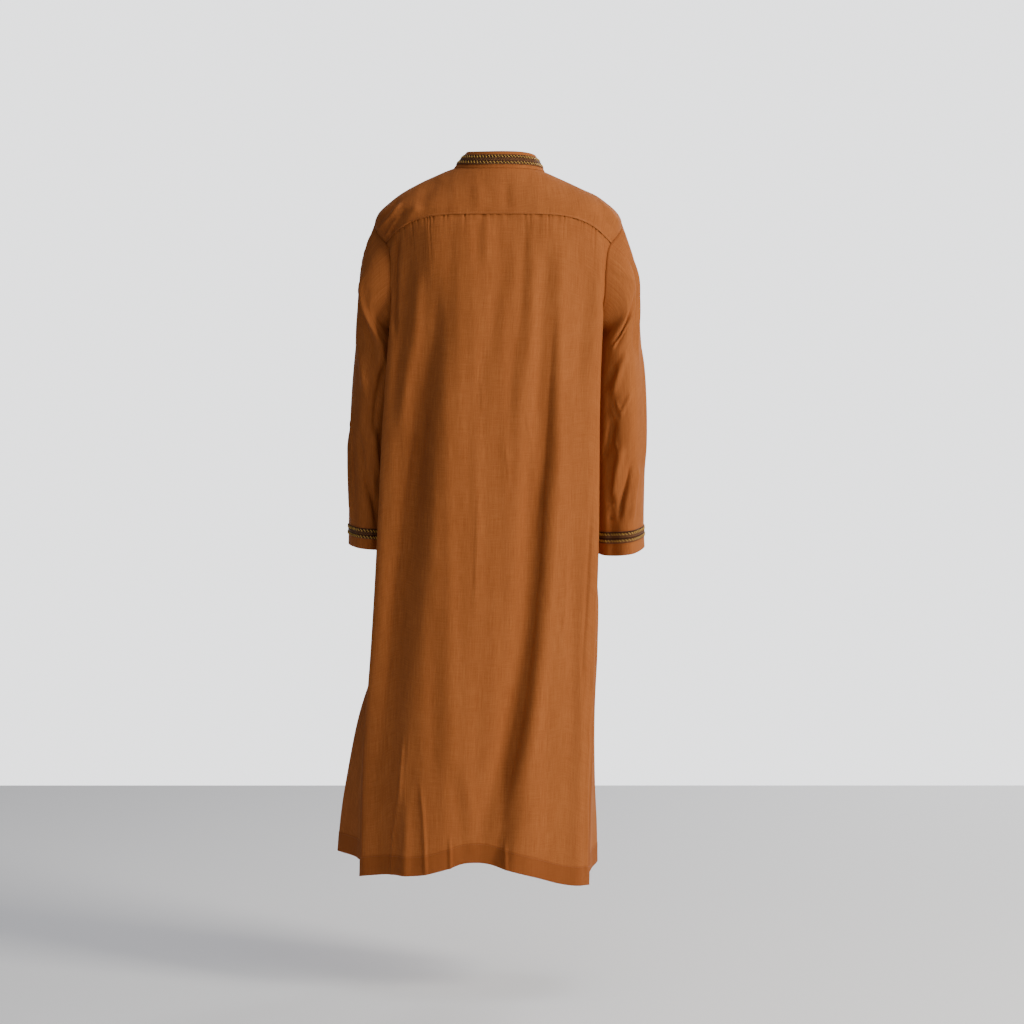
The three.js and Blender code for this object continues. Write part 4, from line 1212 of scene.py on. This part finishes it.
def make_front(side, word):
    angle, level = front_grid(side)
    points = torso(side * angle, level, HEM_FRONT)
    if side < 0:
        angle = angle[:, ::-1]
        level = level[:, ::-1]
        points = points[:, ::-1]
    rows, columns = angle.shape
    near = 1 - ease((angle - side_seam_angle(level)) / SLIT_TUCK_ANGLE)
    tuck = -SLIT_TUCK * near * ease(slit_share(level) / SLIT_TUCK_FULL)
    points = raised(points, tuck)
    lengths = cloth_lengths(points)
    x = points[..., 0]
    z = points[..., 2]
    fine = crease_height(FRONT_CREASES, x * side, z)
    fine = fine + wave_height(x + FRONT_WAVE_SHIFT * side, z)
    held = {"start": FRONT_HOLD_SIDE} if side > 0 else {"end": FRONT_HOLD_SIDE}
    fine = fine * hold_borders(rows, columns, top=FRONT_HOLD_TOP, **held)
    from_hem = hem_distance(lengths)
    from_edge = edge_distance(lengths, last=side > 0)
    from_slit = edge_distance(lengths, last=side < 0)
    in_slit = slit_share(level) > 0
    turned = np.maximum(turned_share(from_hem, HEM_TURN), turned_share(from_edge, EDGE_TURN))
    turned = np.maximum(turned, in_slit * turned_share(from_slit, EDGE_TURN))
    points = raised(points, fine + TURN_RISE * turned)
    name = f"front_{word}"
    piece = make_piece(f"{name}_cloth", points, lengths, CLOTH_THICKNESS, ROBE, name)
    set_layers(piece, turned)
    surface = outside_of(points)
    stitch_row(f"{name}_hem_stitches", surface, from_hem, HEM_TURN - STITCH_FROM_FOLD)
    edge = surface.transpose(1, 0, 2)
    stitch_row(f"{name}_edge_stitches", edge, from_edge.T, EDGE_TURN - STITCH_FROM_FOLD)
    slit_stitches(f"{name}_slit_stitches", points, from_slit, level)


# ---- Sleeves ----
SLEEVE_COLUMNS_ROUND = 150
SLEEVE_HEAD_ROWS = 50
SLEEVE_ARM_ROWS = 90
SLEEVE_ROUND = 1.35  # millimetres round the sleeve in a degree of turn
SLEEVE_GRAIN_WIDTH = 400  # every row's width in the weave's pattern
SLEEVE_CREASE_DEPTH = 1.5  # times the heights in the lists, as YOKE_CREASE_DEPTH is
SLEEVE_WAVE = 0.4  # height of its hanging waves, as a share of theirs on the back
SLEEVE_WAVE_SHIFT = 50  # sets the two sleeves' hanging waves apart
# Shares of the sleeve's head, counted from the armhole: where its creases are whole, where the
# seam's roll is full, and where the roll has gone.
SLEEVE_CREASE_FROM = 1 / 6
SLEEVE_ROLL_FROM = 1 / 12
SLEEVE_ROLL_END = 1 / 2


def sleeve_points(side, place):
    """The sleeve's surface at rows of places, and how far its finer form stands out there."""
    turn = np.linspace(0, 360, SLEEVE_COLUMNS_ROUND, endpoint=False)
    if side > 0:
        turn = turn[::-1]
    turn = turn[None, :] + 0 * place[:, None]
    place = place[:, None] + 0 * turn
    points = sleeve(side, turn, place)
    lines = LEFT_SLEEVE_CREASES if side > 0 else RIGHT_SLEEVE_CREASES
    fine = SLEEVE_CREASE_DEPTH * crease_height(lines, turn, points[..., 2], scale=SLEEVE_ROUND)
    across = turn * SLEEVE_ROUND + SLEEVE_WAVE_SHIFT * side
    fine = fine + wave_height(across, points[..., 2], SLEEVE_WAVE)
    from_seam = place + 1
    fine = fine * ease(from_seam / SLEEVE_CREASE_FROM)
    roll = ease(from_seam / SLEEVE_ROLL_FROM) * (1 - ease(from_seam / SLEEVE_ROLL_END))
    return points, fine + SEAM_ROLL * roll


def cuff_places(side):
    """The places where the cuff's tape starts and ends."""
    table = SLEEVES[side]
    cuff = table.values["z"][-1]
    low = float(table.place_of("z", cuff + CUFF_HEM_WIDTH))
    high = float(table.place_of("z", cuff + CUFF_HEM_WIDTH + TAPE_WIDTH))
    return high, low


def make_sleeve(side, word):
    head = np.linspace(-1, 0, SLEEVE_HEAD_ROWS, endpoint=False)
    arm = np.linspace(0, SLEEVES[side].last, SLEEVE_ARM_ROWS)
    points, heights = sleeve_points(side, np.concatenate([head, arm]))
    lengths = cloth_lengths(points)
    lengths[..., 0] *= (SLEEVE_GRAIN_WIDTH * MM) / lengths[:, -1:, 0] / 2
    points = raised(points, heights, closed=True)
    name = f"sleeve_{word}"
    piece = make_piece(f"{name}_cloth", points, lengths, CLOTH_THICKNESS, ROBE, name, closed=True)
    tape = make_tape_round_cuff(side, word)


# ---- Woven tape and its gold thread ----
TAPE_LIFT = 1.0  # from the middle of the sleeve's cloth to the middle of the tape
TAPE_CELLS = 8
GOLD_ROWS = (-6.2, 6.2)  # across the tape from its middle
GOLD_WIDTH = 4.4
GOLD_STEP = 6.4  # along the tape, for two legs of the zigzag
GOLD_LEG = 0.28  # radius of the thin thread
GOLD_STROKE = 0.7  # radius of the thick strokes


def gold_rows(name, points, closed):
    """Two rows of gold zigzag on a tape: thin legs, and a thick bright stroke over every other leg."""
    normals = surface_normals(points, closed)
    if closed:
        points = np.concatenate([points, points[:, :1]], axis=1)
        normals = np.concatenate([normals, normals[:, :1]], axis=1)
    middle = points.mean(axis=0)
    across = normalized(points[0] - points[-1])
    length = line_length(middle)
    count = 2 * round(length / GOLD_STEP)
    place = np.linspace(0, length, count + 1)
    centre = along_line(middle, place)
    side = along_line(middle, place, across)
    out = along_line(middle, place, normals.mean(axis=0))
    swing = np.where(np.arange(count + 1) % 2, 0.5, -0.5) * GOLD_WIDTH
    pieces = []
    for i, offset in enumerate(GOLD_ROWS):
        line = centre + side * (swing + offset)[:, None] + out * (TAPE_THICKNESS / 2)
        strokes = [line[k : k + 2] + out[k : k + 2] * GOLD_LEG for k in range(0, count, 2)]
        for word, lines, radius in (("legs", [line], GOLD_LEG), ("strokes", strokes, GOLD_STROKE)):
            piece = f"{name}_gold_{word}_{i + 1}"
            pieces.append(thread(piece, lines, radius, GOLD))
    return pieces


def make_tape_round_cuff(side, word):
    high, low = cuff_places(side)
    points, heights = sleeve_points(side, np.linspace(high, low, TAPE_CELLS + 1))
    points = raised(points, heights + TAPE_LIFT, closed=True)
    lengths = cloth_lengths(points)
    node = f"cuff_tape_{word}"
    name = f"{node}_woven"
    tape = make_piece(name, points, lengths, TAPE_THICKNESS, TAPE, node, closed=True)
    return [tape, *gold_rows(name, points, True)]


# ---- Collar ----
COLLAR_COLUMNS = 260
COLLAR_ROWS = 26
COLLAR_BELLY = 0.8  # how far the middle of its height stands out
COLLAR_TAPE_LIFT = 0.6  # from the collar's outer face to the middle of its tape


def collar_grid(shares):
    """The collar's surface at shares of its height, and how far its belly stands out there."""
    left = float(front_edge_angle(1, 0.0))
    right = -float(front_edge_angle(-1, 0.0))
    angle = np.linspace(right, left, COLLAR_COLUMNS)[None, :] + 0 * shares[:, None]
    share = shares[:, None] + 0 * angle
    return collar(angle, share), COLLAR_BELLY * np.sin(math.pi * share)


def make_collar():
    points, belly = collar_grid(np.linspace(1, 0, COLLAR_ROWS))
    lengths = cloth_lengths(points)
    points = raised(points, belly)
    piece = make_piece("collar_cloth", points, lengths, COLLAR_THICKNESS, ROBE, "collar_band")
    low, high = COLLAR_TAPE
    points, belly = collar_grid(np.linspace(high, low, TAPE_CELLS + 1))
    points = raised(points, belly + COLLAR_THICKNESS / 2 + COLLAR_TAPE_LIFT)
    lengths = cloth_lengths(points)
    tape = make_piece("collar_tape_woven", points, lengths, TAPE_THICKNESS, TAPE, "collar_tape")
    gold = gold_rows("collar_tape_woven", points, False)


make_yoke()
make_back()
for side, word in ((1, "left"), (-1, "right")):
    make_front(side, word)
    make_sleeve(side, word)
make_collar()


# ---- Floor, lights and camera ----
FLOOR_Z = -1.6
FLOOR_FINISH = {"Base Color": (0.94, 0.94, 0.95, 1), "Roughness": 0.9}
FLOOR_REACH = 2.4  # from its middle to its sides


def make_floor():
    far = FLOOR_REACH
    mesh = bpy.data.meshes.new("floor")
    corners = [(-far, -far, 0), (far, -far, 0), (far, far, 0), (-far, far, 0)]
    mesh.from_pydata(corners, [], [(0, 1, 2, 3)])
    floor = bpy.data.objects.new("floor", mesh)
    floor.location = (0, 0, FLOOR_Z)
    bpy.context.scene.collection.objects.link(floor)
    material = bpy.data.materials.new("floor_paint")
    material.use_nodes = True
    set_finish(material.node_tree.nodes["Principled BSDF"], FLOOR_FINISH)
    mesh.materials.append(material)


def facing(place, target):
    """The turn of a light or a camera that looks from a place at a target."""
    return (Vector(target) - Vector(place)).to_track_quat("-Z", "Y").to_euler()


def make_light(name, location, size, power, color):
    data = bpy.data.lights.new(name, "AREA")
    data.shape = "RECTANGLE"
    data.size = size[0]
    data.size_y = size[1]
    data.energy = power
    data.color = color
    light = bpy.data.objects.new(name, data)
    light.location = location
    light.rotation_euler = facing(location, LIT_MIDDLE)
    bpy.context.scene.collection.objects.link(light)


# The light that comes from all round, by a direction's place from +Y at 0 to -Y at 1. Past the robe
# the camera sees a lit pale wall as its backdrop, and another pale wall lies behind the camera.
WORLD_STRENGTH = 2.4
WORLD_STOPS = [
    (0.05, (0.210, 0.212, 0.216)),
    (0.14, (0.050, 0.052, 0.062)),
    (0.875, (0.050, 0.052, 0.062)),
    (0.975, (0.96, 0.97, 0.99)),
]
# Each light's name, place, size, power and colour. All of them face the robe's middle.
LIT_MIDDLE = (0, 0, -0.6)
WHITE = (1, 1, 1)
LIGHTS = [
    ("key", (-3.5, 2.1, 0.9), (1.2, 2.2), 206, (1.0, 0.965, 0.88)),
    ("fill", (1.2, 4.4, 0.6), (2.4, 2.4), 4, WHITE),
    ("top", (-0.8, 0.4, 2.6), (2.0, 2.0), 36, WHITE),
    ("front", (-2.2, -3.0, 0.8), (1.6, 2.4), 80, WHITE),
]


def make_lights():
    world = bpy.data.worlds.new("studio")
    bpy.context.scene.world = world
    world.use_nodes = True
    background = world.node_tree.nodes["Background"]
    direction = world.node_tree.nodes.new("ShaderNodeTexCoord").outputs["Generated"]
    split = world.node_tree.nodes.new("ShaderNodeSeparateXYZ")
    world.node_tree.links.new(direction, split.inputs["Vector"])
    place = math_node(world, "MULTIPLY", split.outputs["Y"], -0.5)
    place = math_node(world, "ADD", place, 0.5)
    color = ramp(world, place, WORLD_STOPS)
    world.node_tree.links.new(color, background.inputs["Color"])
    background.inputs["Strength"].default_value = WORLD_STRENGTH
    for name, location, size, power, color in LIGHTS:
        make_light(name, location, size, power, color)


CAMERA_PLACE = (-0.023, 5.1, -0.337)
CAMERA_TARGET = (-0.023, 0, -0.6573)
CAMERA_LENS = 92
CAMERA_SENSOR = 36


def make_camera():
    data = bpy.data.cameras.new("camera")
    data.lens = CAMERA_LENS
    data.sensor_width = CAMERA_SENSOR
    camera = bpy.data.objects.new("camera", data)
    camera.location = CAMERA_PLACE
    camera.rotation_euler = facing(CAMERA_PLACE, CAMERA_TARGET)
    bpy.context.scene.collection.objects.link(camera)
    bpy.context.scene.camera = camera


make_floor()
make_lights()
make_camera()
